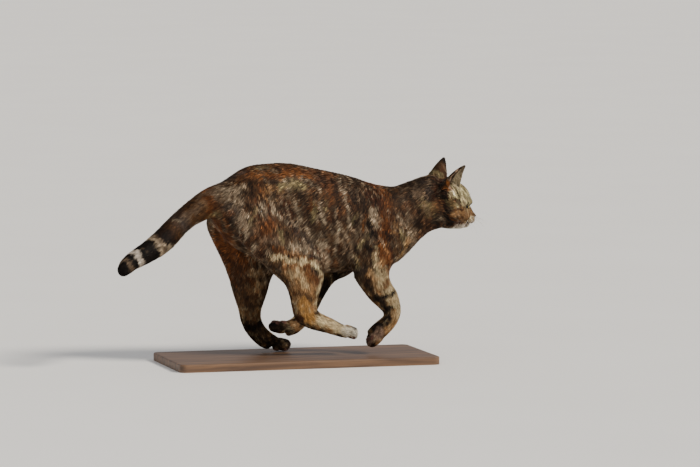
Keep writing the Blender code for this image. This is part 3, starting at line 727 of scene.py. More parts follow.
# Strokes of the coat as seen: tone, width in pixels, strength, places in pixels. Broad fields come first.
BACK = (
    (BROWN, 30, 0.75, ((232, 188), (262, 182), (300, 186), (330, 196), (362, 200), (380, 205))),
    (DARK, 34, 0.65, ((300, 214), (322, 216), (345, 214), (362, 214))),
    (BROWN, 30, 0.6, ((240, 228), (270, 228), (296, 232))),
    (GREY, 20, 0.8, ((224, 190), (236, 194), (244, 206), (246, 222))),
    (PALE, 13, 0.4, ((226, 190), (238, 196), (242, 212), (246, 226))),
    (GREY, 34, 0.35, ((262, 212), (276, 226), (292, 236))),
    (DARK, 3.5, 0.9, ((222, 186), (232, 176), (245, 168), (262, 163), (290, 162), (320, 168), (346, 176),
                      (372, 183), (392, 188))),
    (SLATE, 9, 0.8, ((230, 180), (238, 175), (248, 171))),
    (PALE, 7, 0.6, ((224, 188), (236, 187), (246, 184))),
    (BROWN, 7, 0.7, ((246, 168), (262, 167), (280, 167), (300, 167))),
    (KHAKI, 4, 0.4, ((256, 171), (262, 169), (268, 167))),
    (ORANGE, 7, 0.7, ((256, 173), (270, 175), (286, 175), (300, 173), (316, 177))),
    (MAROON, 4, 0.6, ((268, 176), (276, 176), (284, 174))),
    (RUST, 8, 0.6, ((292, 170), (306, 171), (318, 176))),
    (DARK, 8, 0.85, ((251, 182), (252, 190), (250, 199), (249, 204))),
    (DARK, 4, 0.6, ((258, 181), (270, 180), (283, 180))),
    (TAN, 4, 0.75, ((270, 182), (277, 185), (284, 189))),
    (TAN, 3.5, 0.7, ((266, 187), (273, 190), (280, 191))),
    (TAN, 4, 0.75, ((261, 193), (268, 197), (277, 197))),
    (PALE, 3.5, 0.7, ((270, 196), (276, 196))),
    (KHAKI, 8, 0.8, ((284, 183), (290, 181), (297, 184), (303, 184))),
    (PALE, 3.5, 0.75, ((288, 178), (292, 190), (298, 200), (304, 216), (310, 226))),
    (KHAKI, 5, 0.6, ((302, 182), (308, 187))),
    (DARK, 5, 0.7, ((264, 200), (274, 199), (281, 203))),
    (MAROON, 7, 0.7, ((280, 193), (288, 201), (293, 210), (292, 220), (296, 228))),
    (DARK, 7, 0.7, ((297, 188), (303, 198), (308, 208), (314, 220))),
    (RUST, 5, 0.55, ((310, 190), (314, 198), (312, 206))),
    (RUST, 4, 0.5, ((262, 182), (263, 191))),
    (PALE, 7, 0.8, ((261, 203), (263, 209), (265, 214))),
    (PALE, 6.5, 0.8, ((271, 202), (276, 210), (281, 216))),
    (SLATE, 3.5, 0.7, ((266, 212), (273, 216))),
    (SLATE, 11, 0.85, ((230, 204), (238, 206), (238, 214))),
    (PALE, 4, 0.6, ((231, 197), (238, 198))),
    (KHAKI, 4, 0.6, ((256, 205), (254, 214), (252, 224))),
    (BROWN, 6, 0.7, ((247, 201), (251, 207))),
)
THIGH = (
    (PALE, 3, 0.8, ((248, 209), (246, 219), (243, 229), (242, 240))),
    (PALE, 3, 0.8, ((253, 219), (249, 230), (247, 241))),
    (BLACK, 2.5, 0.85, ((245, 224), (245, 232), (245, 241))),
    (BLACK, 4, 0.85, ((230, 215), (236, 225), (240, 238), (247, 247))),
    (BLACK, 4, 0.75, ((254, 226), (253, 238))),
    (RUST, 11, 0.75, ((268, 217), (268, 225), (264, 230))),
    (GREY, 5, 0.5, ((258, 226), (266, 236), (276, 238))),
    (RUST, 5, 0.55, ((272, 219), (274, 226))),
    (BROWN, 9, 0.7, ((280, 222), (289, 229))),
    (PALE, 4, 0.65, ((291, 218), (298, 221))),
    (SLATE, 9, 0.75, ((302, 231), (310, 240), (318, 249))),
    (PALE, 3.5, 0.6, ((309, 226), (315, 234), (320, 241))),
    (KHAKI, 5, 0.6, ((280, 228), (284, 237))),
    (GREY, 7, 0.6, ((264, 236), (260, 246), (257, 254))),
    (PALE, 4.5, 0.7, ((258, 243), (256, 251))),
    (PALE, 8, 0.85, ((290, 243), (298, 244), (306, 246))),
    (GREY, 6, 0.6, ((274, 238), (282, 240))),
    (PALE, 6, 0.75, ((316, 250), (322, 253))),
    (RUST, 3.5, 0.9, ((272, 243), (282, 247), (292, 250), (304, 254), (320, 259))),
    (DARK, 3, 0.8, ((268, 246), (262, 250), (258, 256))),
    (SLATE, 2.5, 0.8, ((294, 248), (306, 251), (318, 255))),
)
SHANK = (
    (TAN, 26, 0.7, ((290, 262), (300, 272), (304, 290))),
    (BROWN, 3, 0.5, ((290, 271), (298, 279), (301, 288))),
    (CREAM, 5, 0.9, ((272, 252), (286, 255), (298, 257), (312, 260), (319, 265), (322, 273))),
    # The cream line down the shank's front edge is partly its own colour and partly a painted highlight.
    (CREAM, 5, 0.8, ((321, 268), (321, 280), (318, 290))),
    (RUST, 5, 0.7, ((281, 262), (290, 261), (300, 263), (310, 263))),
    (MAROON, 3, 0.5, ((288, 262), (292, 264))),
    (RUST, 9, 0.8, ((308, 268), (313, 276), (318, 277))),
    (BROWN, 4, 0.6, ((284, 270), (286, 280), (292, 290))),
    (CREAM, 8, 0.55, ((298, 267), (302, 276), (306, 284))),
    (CREAM, 5, 0.5, ((288, 268), (292, 274))),
    # The dark line down the shank's rear edge is partly its own colour and partly painted shade.
    (DARK, 7, 0.85, ((275, 262), (282, 278), (287, 292), (290, 302))),
    (DARK, 4.5, 0.75, ((295, 292), (302, 292), (312, 297))),
    (RUST, 4, 0.6, ((296, 291), (300, 295))),
    (MAROON, 9, 0.85, ((291, 302), (293, 312), (299, 318))),
    (CREAM, 2.5, 0.7, ((299, 297), (300, 304))),
    (GOLD, 11, 0.85, ((305, 301), (307, 311), (311, 319))),
    (CREAM, 5, 0.9, ((316, 300), (316, 308), (322, 314))),
    (CREAM, 10, 0.9, ((318, 319), (332, 325), (346, 331))),
    (GREY, 4, 0.5, ((322, 315), (332, 319))),
    (WHITE, 11, 0.8, ((346, 330), (352, 332), (357, 333))),
    (BLACK, 6, 1.0, ((297, 320), (308, 328), (326, 334), (342, 338), (352, 340))),
)
FLANK = (
    (DARK, 8, 0.7, ((318, 184), (319, 192), (322, 198))),
    (DARK, 9, 0.7, ((322, 172), (326, 182))),
    (RUST, 5, 0.7, ((331, 177), (333, 188), (335, 200))),
    (RUST, 3, 0.5, ((326, 184), (328, 196))),
    (PALE, 3.5, 0.6, ((310, 180), (316, 184), (322, 188))),
    (KHAKI, 5, 0.8, ((317, 203), (318, 211), (316, 217))),
    (PALE, 4.5, 0.75, ((321, 202), (325, 210), (327, 219))),
    (KHAKI, 3.5, 0.55, ((328, 199), (331, 207))),
    (DARK, 4.5, 0.8, ((337, 178), (340, 196), (342, 212), (344, 228))),
    (PALE, 3.4, 0.85, ((344, 187), (347, 196), (350, 206), (351, 216), (351, 224))),
    (PALE, 2.6, 0.75, ((337, 206), (340, 217), (341, 228), (340, 240), (338, 250))),
    (DARK, 3, 0.7, ((334, 204), (336, 218), (337, 232))),
    (BROWN, 3, 0.6, ((346, 204), (347, 216), (347, 228))),
    (DARK, 9, 0.8, ((356, 182), (357, 198), (356, 214))),
    (DARK, 6, 0.75, ((363, 193), (364, 206), (361, 218))),
    (BLACK, 4, 0.6, ((345, 175), (352, 178))),
    (ORANGE, 4, 0.5, ((366, 214), (366, 222), (365, 229))),
    (KHAKI, 3, 0.6, ((358, 209), (356, 220))),
    (PALE, 7, 0.8, ((374, 206), (376, 214), (378, 222))),
    (PALE, 2.5, 0.6, ((371, 199), (371, 206))),
    (MAROON, 8, 0.75, ((368, 190), (374, 196), (378, 200))),
    (GREY, 3, 0.6, ((352, 224), (350, 236), (346, 246))),
    (KHAKI, 3.5, 0.7, ((369, 228), (366, 236), (361, 244))),
    (GREY, 3, 0.6, ((357, 236), (353, 248), (350, 260))),
    (BLACK, 3, 0.6, ((345, 240), (341, 250))),
    (BLACK, 3.5, 0.6, ((349, 250), (346, 262))),
    (DARK, 10, 0.35, ((338, 256), (350, 262), (364, 264))),
    (GREY, 3, 0.6, ((342, 256), (341, 262))),
    (KHAKI, 5, 0.5, ((357, 256), (359, 264))),
    (BROWN, 5, 0.6, ((332, 232), (336, 244))),
    (PALE, 7, 0.8, ((325, 243), (329, 252), (332, 262), (331, 269))),
    (GREY, 2, 0.5, ((325, 248), (326, 260))),
    (SLATE, 7, 0.7, ((334, 270), (350, 270), (366, 268))),
)
SHOULDER = (
    (RUST, 14, 0.85, ((372, 185), (384, 190), (388, 202), (386, 218), (386, 234), (386, 248), (386, 258))),
    (BROWN, 11, 0.7, ((398, 216), (400, 230), (398, 246))),
    (ORANGE, 4.5, 0.6, ((384, 187), (391, 196), (398, 208))),
    (MAROON, 6, 0.6, ((376, 190), (382, 198), (380, 206))),
    (TAN, 4.5, 0.45, ((396, 220), (394, 230))),
    (TAN, 3, 0.4, ((384, 240), (388, 244), (390, 250))),
    (RUST, 4, 0.6, ((382, 238), (384, 250), (388, 255))),
    # The pale line along the shoulder's front edge is partly pale coat and partly a painted highlight.
    (PALE, 3.5, 0.85, ((397, 213), (403, 219), (408, 226), (411, 237))),
    (KHAKI, 6, 0.7, ((402, 228), (405, 240), (404, 250))),
    (TAN, 7, 0.6, ((409, 236), (406, 246), (402, 254))),
    (BLACK, 9, 0.9, ((371, 224), (374, 232), (371, 242), (374, 251))),
    (DARK, 6, 0.7, ((366, 252), (370, 262))),
    (CREAM, 5, 0.6, ((377, 246), (376, 256), (378, 264))),
    (TAN, 6, 0.75, ((380, 262), (384, 258))),
    (BLACK, 3.5, 0.85, ((383, 265), (390, 262), (397, 259))),
    (BROWN, 4, 0.7, ((376, 267), (384, 267))),
)
FORELEG = (
    (CREAM, 16, 0.7, ((380, 272), (388, 284), (394, 300), (396, 312))),
    (TAN, 7, 0.7, ((370, 270), (376, 276))),
    (BROWN, 3, 0.7, ((368, 274), (376, 281))),
    (RUST, 6, 0.9, ((388, 275), (386, 281), (383, 285))),
    (BLACK, 7, 0.9, ((368, 283), (376, 294), (384, 306), (389, 314))),
    (DARK, 8, 0.8, ((362, 272), (368, 280))),
    (BLACK, 4.5, 1.0, ((378, 297), (386, 295), (394, 291))),
    (BLACK, 5, 1.0, ((382, 307), (391, 307))),
    (ORANGE, 3, 0.7, ((392, 309), (398, 306))),
    (TAN, 9, 0.7, ((394, 313), (394, 322), (390, 330))),
    (BLACK, 8, 0.95, ((389, 317), (383, 324), (376, 331))),
    (TAN, 5, 0.7, ((389, 330), (384, 338), (378, 343))),
    (TOE, 9, 0.85, ((382, 332), (375, 337), (369, 341))),
    (BLACK, 2.5, 0.8, ((366, 335), (366, 341), (370, 345))),
)
NECKSIDE = (
    (BROWN, 26, 0.7, ((402, 200), (420, 204), (436, 206))),
    (DARK, 22, 0.7, ((396, 192), (412, 190), (426, 186), (440, 184))),
    (GREY, 5, 0.6, ((404, 188), (407, 198), (410, 206))),
    (DARK, 8, 0.7, ((413, 186), (415, 198), (418, 206))),
    (GREY, 8, 0.75, ((420, 189), (424, 197))),
    (KHAKI, 11, 0.45, ((427, 202), (435, 206), (433, 211))),
    (SLATE, 6, 0.7, ((428, 181), (430, 190), (432, 197))),
    (MAROON, 5, 0.7, ((438, 185), (438, 200))),
    # The black and dark strokes behind the cheek and under the jaw are partly the coat's own dark and
    # partly painted shade.
    (BLACK, 9, 0.95, ((443, 182), (445, 194), (447, 206), (449, 217), (450, 223))),
    (BLACK, 14, 0.8, ((424, 217), (436, 220), (446, 224))),
    (DARK, 12, 0.8, ((418, 222), (428, 227), (440, 228))),
    (GREY, 5, 0.6, ((411, 211), (413, 221), (418, 233))),
    (GREY, 4, 0.5, ((446, 221), (448, 228))),
    (DARK, 4, 0.7, ((421, 207), (420, 216), (421, 226))),
)
BROAD_FACE = (
    (TAN, 18, 0.7, ((461, 209), (466, 213), (471, 216))),
    (BROW, 19, 0.95, ((459, 190), (463, 195), (468, 200))),
)
FACE = (
    (CREAM, 6, 0.7, ((452, 195), (454, 190), (457, 185))),
    (CREAM, 5, 0.6, ((462, 198), (468, 201))),
    (DARK, 1.4, 0.55, ((459, 186), (464, 190), (468, 196), (471, 201))),
    (DARK, 1.2, 0.5, ((460, 192), (463, 196), (466, 200))),
    (DARK, 1.1, 0.4, ((457, 190), (460, 197), (462, 202))),
    (BROWN, 5, 0.5, ((456, 200), (457, 206))),
    (KHAKI, 5, 0.4, ((452, 200), (453, 208))),
    # The black line over the eye is partly the lid's dark rim and partly a painted shadow of the upper lid
    # and brow.
    (BLACK, 1.8, 0.95, ((471, 203), (467, 206), (463, 208), (459, 210))),
    (MAROON, 2.4, 0.8, ((452, 212), (458, 212), (464, 209))),
    (DARK, 1.6, 0.8, ((466, 208), (470, 212), (474, 215))),
    (TAN, 3, 0.8, ((469, 207), (473, 211))),
    (TAN, 3, 0.7, ((455, 216), (462, 213), (468, 211))),
    (RUST, 3.5, 0.8, ((452, 218), (457, 221), (462, 218))),
    (CREAM, 4.5, 0.85, ((471, 217), (473, 221), (469, 222))),
    (CHALK, 8, 0.95, ((456, 227), (461, 226), (467, 225), (471, 223))),
    (DARK, 1.6, 0.8, ((465.5, 219.2), (468.5, 218), (471.5, 217.4))),
    (BLACK, 3, 0.8, ((452, 221), (451.5, 226), (450, 230))),
    (BLACK, 2.5, 0.9, ((475, 214), (476, 217))),
    (ORANGE, 2, 0.6, ((461, 221), (466, 221))),
)
EARS = (
    (MAROON, 8, 0.95, ((440, 182), (447, 177), (452, 173), (457, 169))),
    (ORANGE, 4.5, 0.9, ((447, 182), (448, 190))),
    (CUP, 10, 0.95, ((456, 182), (458, 176), (461, 171))),
    (GREY, 5, 0.7, ((461, 170), (464, 166))),
    (PEACH, 2.4, 0.95, ((457, 171), (453, 175), (450, 180), (450, 186), (451, 190))),
    (BROWN, 16, 0.95, ((438, 174), (440, 166), (443, 160))),
    (RUST, 5, 0.5, ((441, 172), (443, 166))),
    (BLACK, 7, 1.0, ((440, 161), (443, 158), (445, 162))),
    (KHAKI, 6, 0.6, ((430, 174), (440, 176))),
)
REAR = (
    (GREY, 10, 0.6, ((222, 188), (212, 192), (204, 196))),
    (RUST, 8, 0.8, ((209, 198), (213, 204), (214, 211))),
    (TAN, 5, 0.5, ((206, 200), (210, 206))),
    (PALE, 4, 0.5, ((230, 190), (240, 192))),
    (KHAKI, 8, 0.85, ((212, 216), (221, 213))),
    # The next twelve strokes are the far legs, whose dark tones are partly their own and partly painted
    # shade.
    (RUST, 26, 0.85, ((220, 226), (228, 244), (240, 262))),
    (RUST, 22, 0.6, ((228, 244), (240, 270), (250, 292))),
    (TAN, 7, 0.4, ((250, 286), (254, 300))),
    (BLACK, 6, 0.7, ((222, 250), (232, 258), (242, 266))),
    (DARK, 12, 0.6, ((240, 270), (250, 290), (252, 306))),
    (BLACK, 5, 0.6, ((232, 282), (240, 290), (248, 296))),
    (BROWN, 14, 0.6, ((240, 296), (246, 308), (252, 318))),
    (BLACK, 20, 0.9, ((244, 324), (254, 336), (268, 346), (284, 350))),
    (BLACK, 18, 0.85, ((342, 272), (330, 280), (322, 292))),
    (DARK, 3, 0.6, ((346, 268), (334, 274))),
    (BLACK, 14, 0.9, ((272, 326), (284, 326), (290, 328))),
    (TAN, 8, 0.6, ((296, 324), (302, 329))),
    (DARK, 7, 0.7, ((198, 198), (184, 209), (172, 221), (160, 234))),
    (PALE, 3.5, 0.6, ((204, 218), (196, 222), (187, 230), (179, 239), (175, 247))),
    (PALE, 2.5, 0.8, ((177, 219), (183, 219))),
    (GREY, 7, 0.5, ((208, 202), (198, 208), (188, 216))),
    (PALE, 8, 0.7, ((172, 245), (168, 250))),
    (PALE, 2, 0.8, ((157, 241), (164, 242), (174, 244))),
    (GREY, 2, 0.8, ((144, 248), (148, 249))),
)
STROKES = BACK + THIGH + SHANK + FLANK + SHOULDER + FORELEG + BROAD_FACE + NECKSIDE + FACE + EARS + REAR
# Tones along the tail, by the share of its length
TAIL_BANDS = ((0.0, RUST), (0.1, RUST), (0.15, BROWN), (0.3, BROWN), (0.4, SLATE), (0.46, BROWN),
              (0.5, DARK), (0.57, BLACK), (0.59, GREY), (0.64, PALE), (0.66, BLACK), (0.775, BLACK),
              (0.785, CHALK), (0.82, CHALK), (0.83, BLACK), (0.875, BLACK), (0.885, GREY), (0.905, GREY),
              (0.915, BLACK), (1.0, BLACK))


def streaks(lie, seed):
    """Fine light and dark clumps of hair, longer down the flanks than across them."""
    mm = lie.mm
    drawn = np.stack([mm[:, 0] + 0.35 * mm[:, 2], mm[:, 1] * 0.6, mm[:, 2] * 0.24], 1)
    clumps = 0.75 * noise(drawn, 1.5, seed) + 0.4 * noise(drawn, 3.2, seed + 1)
    specks = 0.6 * noise(mm, 2.4, seed + 2) + 0.5 * noise(mm, 4.0, seed + 3)
    limb = 1 - np.clip(2.5 * lie.weights["spine"], 0, 1)
    return clumps * (1 - limb) + specks * limb


def ground_colour(lie):
    """The pattern that all sides share: ticked dark ground, broken bars and rust patches."""
    mm = lie.mm
    at = mm + 3.0 * shift(mm, 16, 1)
    ticks = streaks(lie, 40)
    patch = soft_step(noise(mm, PATCH_SIZE, 6) + 0.5 * noise(mm, 9, 7), 0.3, 1.1)
    bars = np.zeros(len(mm))
    flank = np.sin((at[:, 0] + BAR_LEAN * at[:, 2]) / BAR_STEP + 0.8 * noise(mm, 30, 8))
    bars += soft_step(flank + 0.5 * ticks, -0.9, 0.9) * lie.weights["spine"] * 1.7
    limb = np.zeros(len(mm))
    for name in LEGS:
        gap, share, way, foot = lie.parts[name]
        rings = np.sin(share * LEG_RINGS + 1.2 * noise(mm, 26, 9))
        bars += soft_step(rings + 0.4 * noise(mm, 7, 15), -0.2, 0.6) * lie.weights[name]
        limb = np.maximum(limb, soft_step(share, 0.25, 0.5) * soft_step(lie.weights[name], 0.3, 0.8))
    bars = np.clip(bars, 0, 1)
    light = blend(BROWN, PALE * 0.8, soft_step(ticks, -0.9, 1.3))
    light = blend(light, blend(TAN * 0.8, CREAM * 0.8, soft_step(ticks, -0.4, 1.4)), limb)
    dark = blend(BLACK, BROWN, soft_step(ticks, -0.6, 1.8))
    black_side = blend(light, dark, bars)
    red_side = blend(MAROON, ORANGE * 0.8, soft_step(ticks, -0.7, 1.4))
    colour = blend(black_side, red_side, patch * (0.75 - 0.3 * bars) * (1 - 0.6 * limb))
    ridge = within(np.abs(mm[:, 1]) - 2.0 * noise(mm, 12, 10), *RIDGE_WIDE) * (mm[:, 2] > RIDGE_FROM)
    colour = blend(colour, DARK, ridge * (1 - lie.on_head) * 0.8)
    return colour


def face_colour(lie, colour):
    """The marks that both sides of the face share."""
    rows = np.nonzero(lie.on_head > 0.05)[0]
    head = lie.head[rows]
    mirrored = np.stack([head[:, 0], np.abs(head[:, 1]), head[:, 2]], 1)
    wobble = 0.7 * shift(head, 7, 71)
    clumps = 0.3 * streaks(lie, 74)[rows]
    for shade, width, strength, path in FACE_MARKS:
        gap = beside(mirrored + wobble, path)[0] / (width / 2)
        mask = strength * within(gap - clumps, 0.65, 1.35) * lie.on_head[rows]
        colour[rows] = blend(colour[rows], shade, mask)
    return colour


def rim_colour(points, head, colour):
    """Dark rims of the lids and line of the lips, and painted shade in the clefts between the toes."""
    colour = blend(colour, RIM_SKIN, within(eye_gap(points), 1.3, 2.3))
    for line in FOLDS:
        colour = blend(colour, RIM_SKIN, 0.9 * within(beside(head, line)[0], 0.7, 1.4))
    # The clefts between the toes are darkened to a quarter: painted shade.
    return blend(colour, colour * 0.25, within(toe_gap(points), 1.0, 2.2))


def tail_colour(lie):
    gap, share, way, foot = lie.parts["tail"]
    wobble = share + 0.007 * noise(lie.mm, 9, 11) + 0.004 * noise(lie.mm, 2.5, 12)
    places = [place for place, _ in TAIL_BANDS]
    colours = np.array([colour for _, colour in TAIL_BANDS])
    return np.stack([np.interp(wobble, places, colours[:, channel]) for channel in range(3)], 1)


def coat_colour(points, seen):
    """The coat's colour at each point of the scene."""
    lie = Lie(points)
    colour = ground_colour(lie)
    on_tail = soft_step(lie.mm[:, 0], *TAIL_TONES)
    colour = blend(colour, tail_colour(lie), on_tail)
    colour = face_colour(lie, colour)
    shaken = points + STROKE_SHAKE * MM * shift(lie.mm, 8, 21)
    rough = lie.mixed(*STREAKINESS)
    flecks = rough * streaks(lie, 80)
    ragged = rough * (0.4 * streaks(lie, 50) + 0.2 * noise(lie.mm, 7, 24))
    for shade, width, strength, pixels in STROKES:
        line = seen.line(pixels)
        reach = 1.3 * width * PIXEL
        near = np.all((shaken > line.min(0) - reach) & (shaken < line.max(0) + reach), axis=1)
        rows = np.nonzero(near)[0]
        if len(rows):
            gap = beside(shaken[rows], line)[0] / (width * PIXEL / 2)
            mask = strength * within(gap - ragged[rows], 0.6, 1.4)
            mask = mask * np.clip(0.88 + 0.5 * flecks[rows], 0.12, 1.0)
            colour[rows] = blend(colour[rows], shade, mask)
    colour = colour * (TICK_SPREAD ** (rough * streaks(lie, 60)))[:, None]
    return rim_colour(points, lie.head, colour)


def oval_gap(points, centre, half):
    """How far each point is from an oval's centre, one at its surface."""
    return np.linalg.norm((points - np.array(centre)) / np.array(half), axis=1)


def bare_mask(points, normals):
    """One where the skin has no hair: nose, lips, pads, rims of the lids."""
    head = in_head(points)
    bare = within(oval_gap(head, *NOSE_PAD), 0.95, 1.1)
    bare = np.maximum(bare, within(eye_gap(points), 1.0, 1.6))
    for line in FOLDS:
        bare = np.maximum(bare, within(beside(head, line)[0], 0.9, 1.3))
    for matrix in paw_frames():
        local = in_frame(points, matrix)
        down = -(normals @ np.array(matrix.to_3x3())[:, 2])
        pads = [SOLE_PAD]
        for lane in TOE_LANES:
            back = OUTER_TOE_BACK if abs(lane) > 1 else 0.0
            pads.append(((2.6 - TOE_HALF[0] - back, lane * TOE_STEP, 1.6 - TOE_HALF[2]), TOE_PAD))
        for centre, half in pads:
            bare = np.maximum(bare, within(oval_gap(local, centre, half), 0.9, 1.12) * (down > 0.1))
    return bare


# Coat

PIECE_LIMIT = 19500              # tufts in one piece
PATCH = 0.003                    # a tuft's size on the unwrapped skin
CHART_EDGES = (0.02, 0.98)

# A tuft's seven corners are three at its root, three at its middle and the tip
TUFT_FACES = np.array([(0, 1, 2), (0, 4, 1), (0, 3, 4), (1, 5, 2), (1, 4, 5), (2, 3, 0), (2, 5, 3),
                       (3, 6, 4), (4, 6, 5), (5, 6, 3)])
TUFT_VARY = ((0.75, 1.2), (0.75, 1.15), (0.75, 1.15))     # shares of its length, width and depth
TUFT_STRAY = 0.13                # radians between one tuft's way and the next
TUFT_RISE = 0.75                 # shares of the depth by which the middle and the tip stand off the skin
TIP_RISE = (0.7, 1.15)
TUFT_THICKNESS = 0.42            # shares of the width
TUFT_WAIST = 0.92
TUFT_ROOT_SHADE = np.array([0.5, 0.5, 0.6, 0.95, 0.95, 1.05, 1.2])          # darker at the root: painted shade deep in the coat
TUFT_CHART = np.array([(0, 0), (1, 0), (0.5, 0), (0, 0.6), (1, 0.6), (0.5, 0.6), (0.5, 1.0)])

TORSO_PIECES = (("rump", -999), ("loin", -40), ("ribs", 25), ("chest", 85), ("neck", 148))


def pick_roots(skin, rate_of, seed):
    """Places on the skin, spread evenly by the rate of tufts wanted for each square millimetre."""
    mesh = skin.data
    mesh.calc_loop_triangles()
    count = len(mesh.loop_triangles)
    corners = np.empty(count * 3, np.int32)
    mesh.loop_triangles.foreach_get("vertices", corners)
    corners = corners.reshape(-1, 3)
    points = vertices_of(mesh)
    normals = normals_of(mesh)
    a, b, c = (points[corners[:, index]] for index in range(3))
    area = 0.5 * np.linalg.norm(np.cross(b - a, c - a), axis=1) / MM ** 2
    wanted = area * rate_of(points)[corners].mean(1)
    ends = np.cumsum(wanted)
    draw = np.random.default_rng(seed)
    total = int(ends[-1])
    marks = (np.arange(total) + draw.uniform(0, 1, total)) * ends[-1] / total
    chosen = np.minimum(np.searchsorted(ends, marks), count - 1)
    p, q = draw.uniform(0, 1, total), draw.uniform(0, 1, total)
    flip = p + q > 1
    p[flip], q[flip] = 1 - p[flip], 1 - q[flip]
    r = 1 - p - q
    index = corners[chosen]
    shares = np.stack([r, p, q], 1)[:, :, None]
    return (points[index] * shares).sum(1), unit((normals[index] * shares).sum(1))


def hug(tree, places, normals):
    """The nearest places of the skin, its normals there, and where it has turned away from the roots'."""
    found = np.empty_like(places)
    ways = np.empty_like(places)
    for index, place in enumerate(places):
        near, normal, face, gap = tree.find_nearest(place)
        found[index] = near
        ways[index] = normal
    return found, ways, (ways * normals).sum(1) < 0.5


def grow_tufts(name, roots, normals, ways, sizes, colours, chart, tree, seed):
    """One coat piece: closed, tapered, bent tufts with the colour of their roots.

    The sizes are the length, width and depth in millimetres and the spread of light and dark.
    """
    draw = np.random.default_rng(seed)
    count = len(roots)
    length, width, depth = (size * MM * draw.uniform(*vary, count) for size, vary in zip(sizes, TUFT_VARY))
    angle = draw.normal(0, TUFT_STRAY, count)
    side = np.cross(normals, ways)
    ways = unit(ways * np.cos(angle)[:, None] + side * np.sin(angle)[:, None])
    side = np.cross(normals, ways)
    moves = ways * length[:, None]
    middle, middle_up, folded = hug(tree, roots + moves * 0.5, normals)
    tip, tip_up, folded_tip = hug(tree, roots + moves, normals)
    folded |= folded_tip
    for found, ups, share in ((middle, middle_up, 0.2), (tip, tip_up, 0.4)):
        found[folded] = (roots + moves * share)[folded]
        ups[folded] = normals[folded]
    middle_up = unit(middle_up * 0.5 + normals * 0.5)
    tip_up = unit(tip_up * 0.5 + normals * 0.5)
    middle = middle + middle_up * (depth * TUFT_RISE)[:, None]
    tip = tip + tip_up * (depth * draw.uniform(*TIP_RISE, count))[:, None]
    start = roots - normals * (0.05 * MM + 0.08 * depth)[:, None]
    thick = width * TUFT_THICKNESS
    rings = []
    for centre, up, scale in ((start, normals, 1.0), (middle, middle_up, TUFT_WAIST)):
        across = unit(np.cross(up, ways))
        rings.append(centre + across * (width * scale / 2)[:, None])
        rings.append(centre - across * (width * scale / 2)[:, None])
        rings.append(centre + up * (thick * scale)[:, None])
    points = np.stack(rings + [tip], 1)
    faces = (TUFT_FACES[None] + 7 * np.arange(count)[:, None, None]).reshape(-1, 3)
    mesh = bpy.data.meshes.new(name)
    mesh.vertices.add(count * 7)
    mesh.vertices.foreach_set("co", points.astype(np.float32).ravel())
    mesh.loops.add(len(faces) * 3)
    mesh.loops.foreach_set("vertex_index", faces.astype(np.int32).ravel())
    mesh.polygons.add(len(faces))
    mesh.polygons.foreach_set("loop_start", np.arange(0, len(faces) * 3, 3, dtype=np.int32))
    mesh.update(calc_edges=True)
    mesh.shade_smooth()
    light = np.exp(sizes[3] * draw.normal(0, 1, count))
    shade = colours[:, None, :] * TUFT_ROOT_SHADE[None, :, None] * light[:, None, None]
    put_colour(mesh, shade.reshape(-1, 3))
    put_chart(mesh, chart, faces)
    bend = np.stack([side, -side, normals, side, -side, middle_up, tip_up], 1)
    rest = np.stack([normals] * 3 + [middle_up] * 3 + [tip_up], 1)
    mesh.normals_split_custom_set_from_vertices(unit((bend * 0.3 + rest * 0.7).reshape(-1, 3)))
    return put_in_scene(name, mesh)


def put_colour(mesh, colours):
    layer = mesh.color_attributes.new("tone", "FLOAT_COLOR", "POINT")
    values = np.ones((len(colours), 4), np.float32)
    values[:, :3] = np.clip(colours, 0.0, 1.0)
    layer.data.foreach_set("color", values.ravel())


def put_chart(mesh, chart, faces):
    """Each tuft is a small patch at its root's place on the unwrapped skin."""
    flat = chart[:, None, :] + (TUFT_CHART - 0.5)[None] * PATCH
    layer = mesh.uv_layers.new(name="OFBake")
    corner = flat.reshape(-1, 2)[faces.ravel()]
    layer.data.foreach_set("uv", corner.astype(np.float32).ravel())


def inset(share):
    return 0.02 + 0.96 * share


def chart_of(lie, piece, normals):
    """Where each root lies on its own part's unwrapped skin: along the part and round it."""
    if piece.startswith("ear"):
        side = -1 if piece.endswith("_r") else 1
        across = (lie.head[:, 0] + 45) / 60
        up = (lie.head[:, 2] - 5) / 65
        facing = np.array(HEAD_TURN) @ np.array([0.7, side * 0.6, 0.1])
        inner = (normals @ facing) > 0
        return np.stack([np.clip(across, *CHART_EDGES) * 0.46 + np.where(inner, 0.52, 0.01),
                         np.clip(up, *CHART_EDGES)], 1)
    if piece in ("face", "crown"):
        round_it = np.arctan2(lie.head[:, 1], lie.head[:, 2] + 8) / (2 * math.pi) + 0.5
        return np.stack([np.clip((lie.head[:, 0] + 60) / 120, *CHART_EDGES), inset(round_it)], 1)
    line = piece if piece in LEGS or piece == "tail" else "spine"
    gap, share, way, foot = lie.parts[line]
    out = lie.mm - foot
    base = np.array([0.0, 1.0, 0.0]) if line in LEGS else np.array([0.0, 0.0, 1.0])
    over = unit(base - way * (way @ base)[:, None])
    beside_it = np.cross(way, over)
    round_it = np.arctan2((out * beside_it).sum(1), (out * over).sum(1)) / (2 * math.pi) + 0.5
    return np.stack([inset(share), inset(round_it)], 1)


def pieces_of(lie):
    """The name of the coat piece that each root belongs to."""
    names = list(lie.weights)
    best = np.argmax(np.stack([lie.weights[name] for name in names], 1), axis=1)
    result = np.array(names, dtype=object)[best]
    x = lie.mm[:, 0]
    spine = result == "spine"
    for name, start in TORSO_PIECES:
        result[spine & (x > start)] = name
    head = lie.on_head > 0.5
    result[head] = np.where(lie.head[head, 0] > 8, "face", "crown")
    ears = lie.on_ear > 0.5
    result[ears] = np.where(lie.head[ears, 1] > 0, "ear_l", "ear_r")
    return result


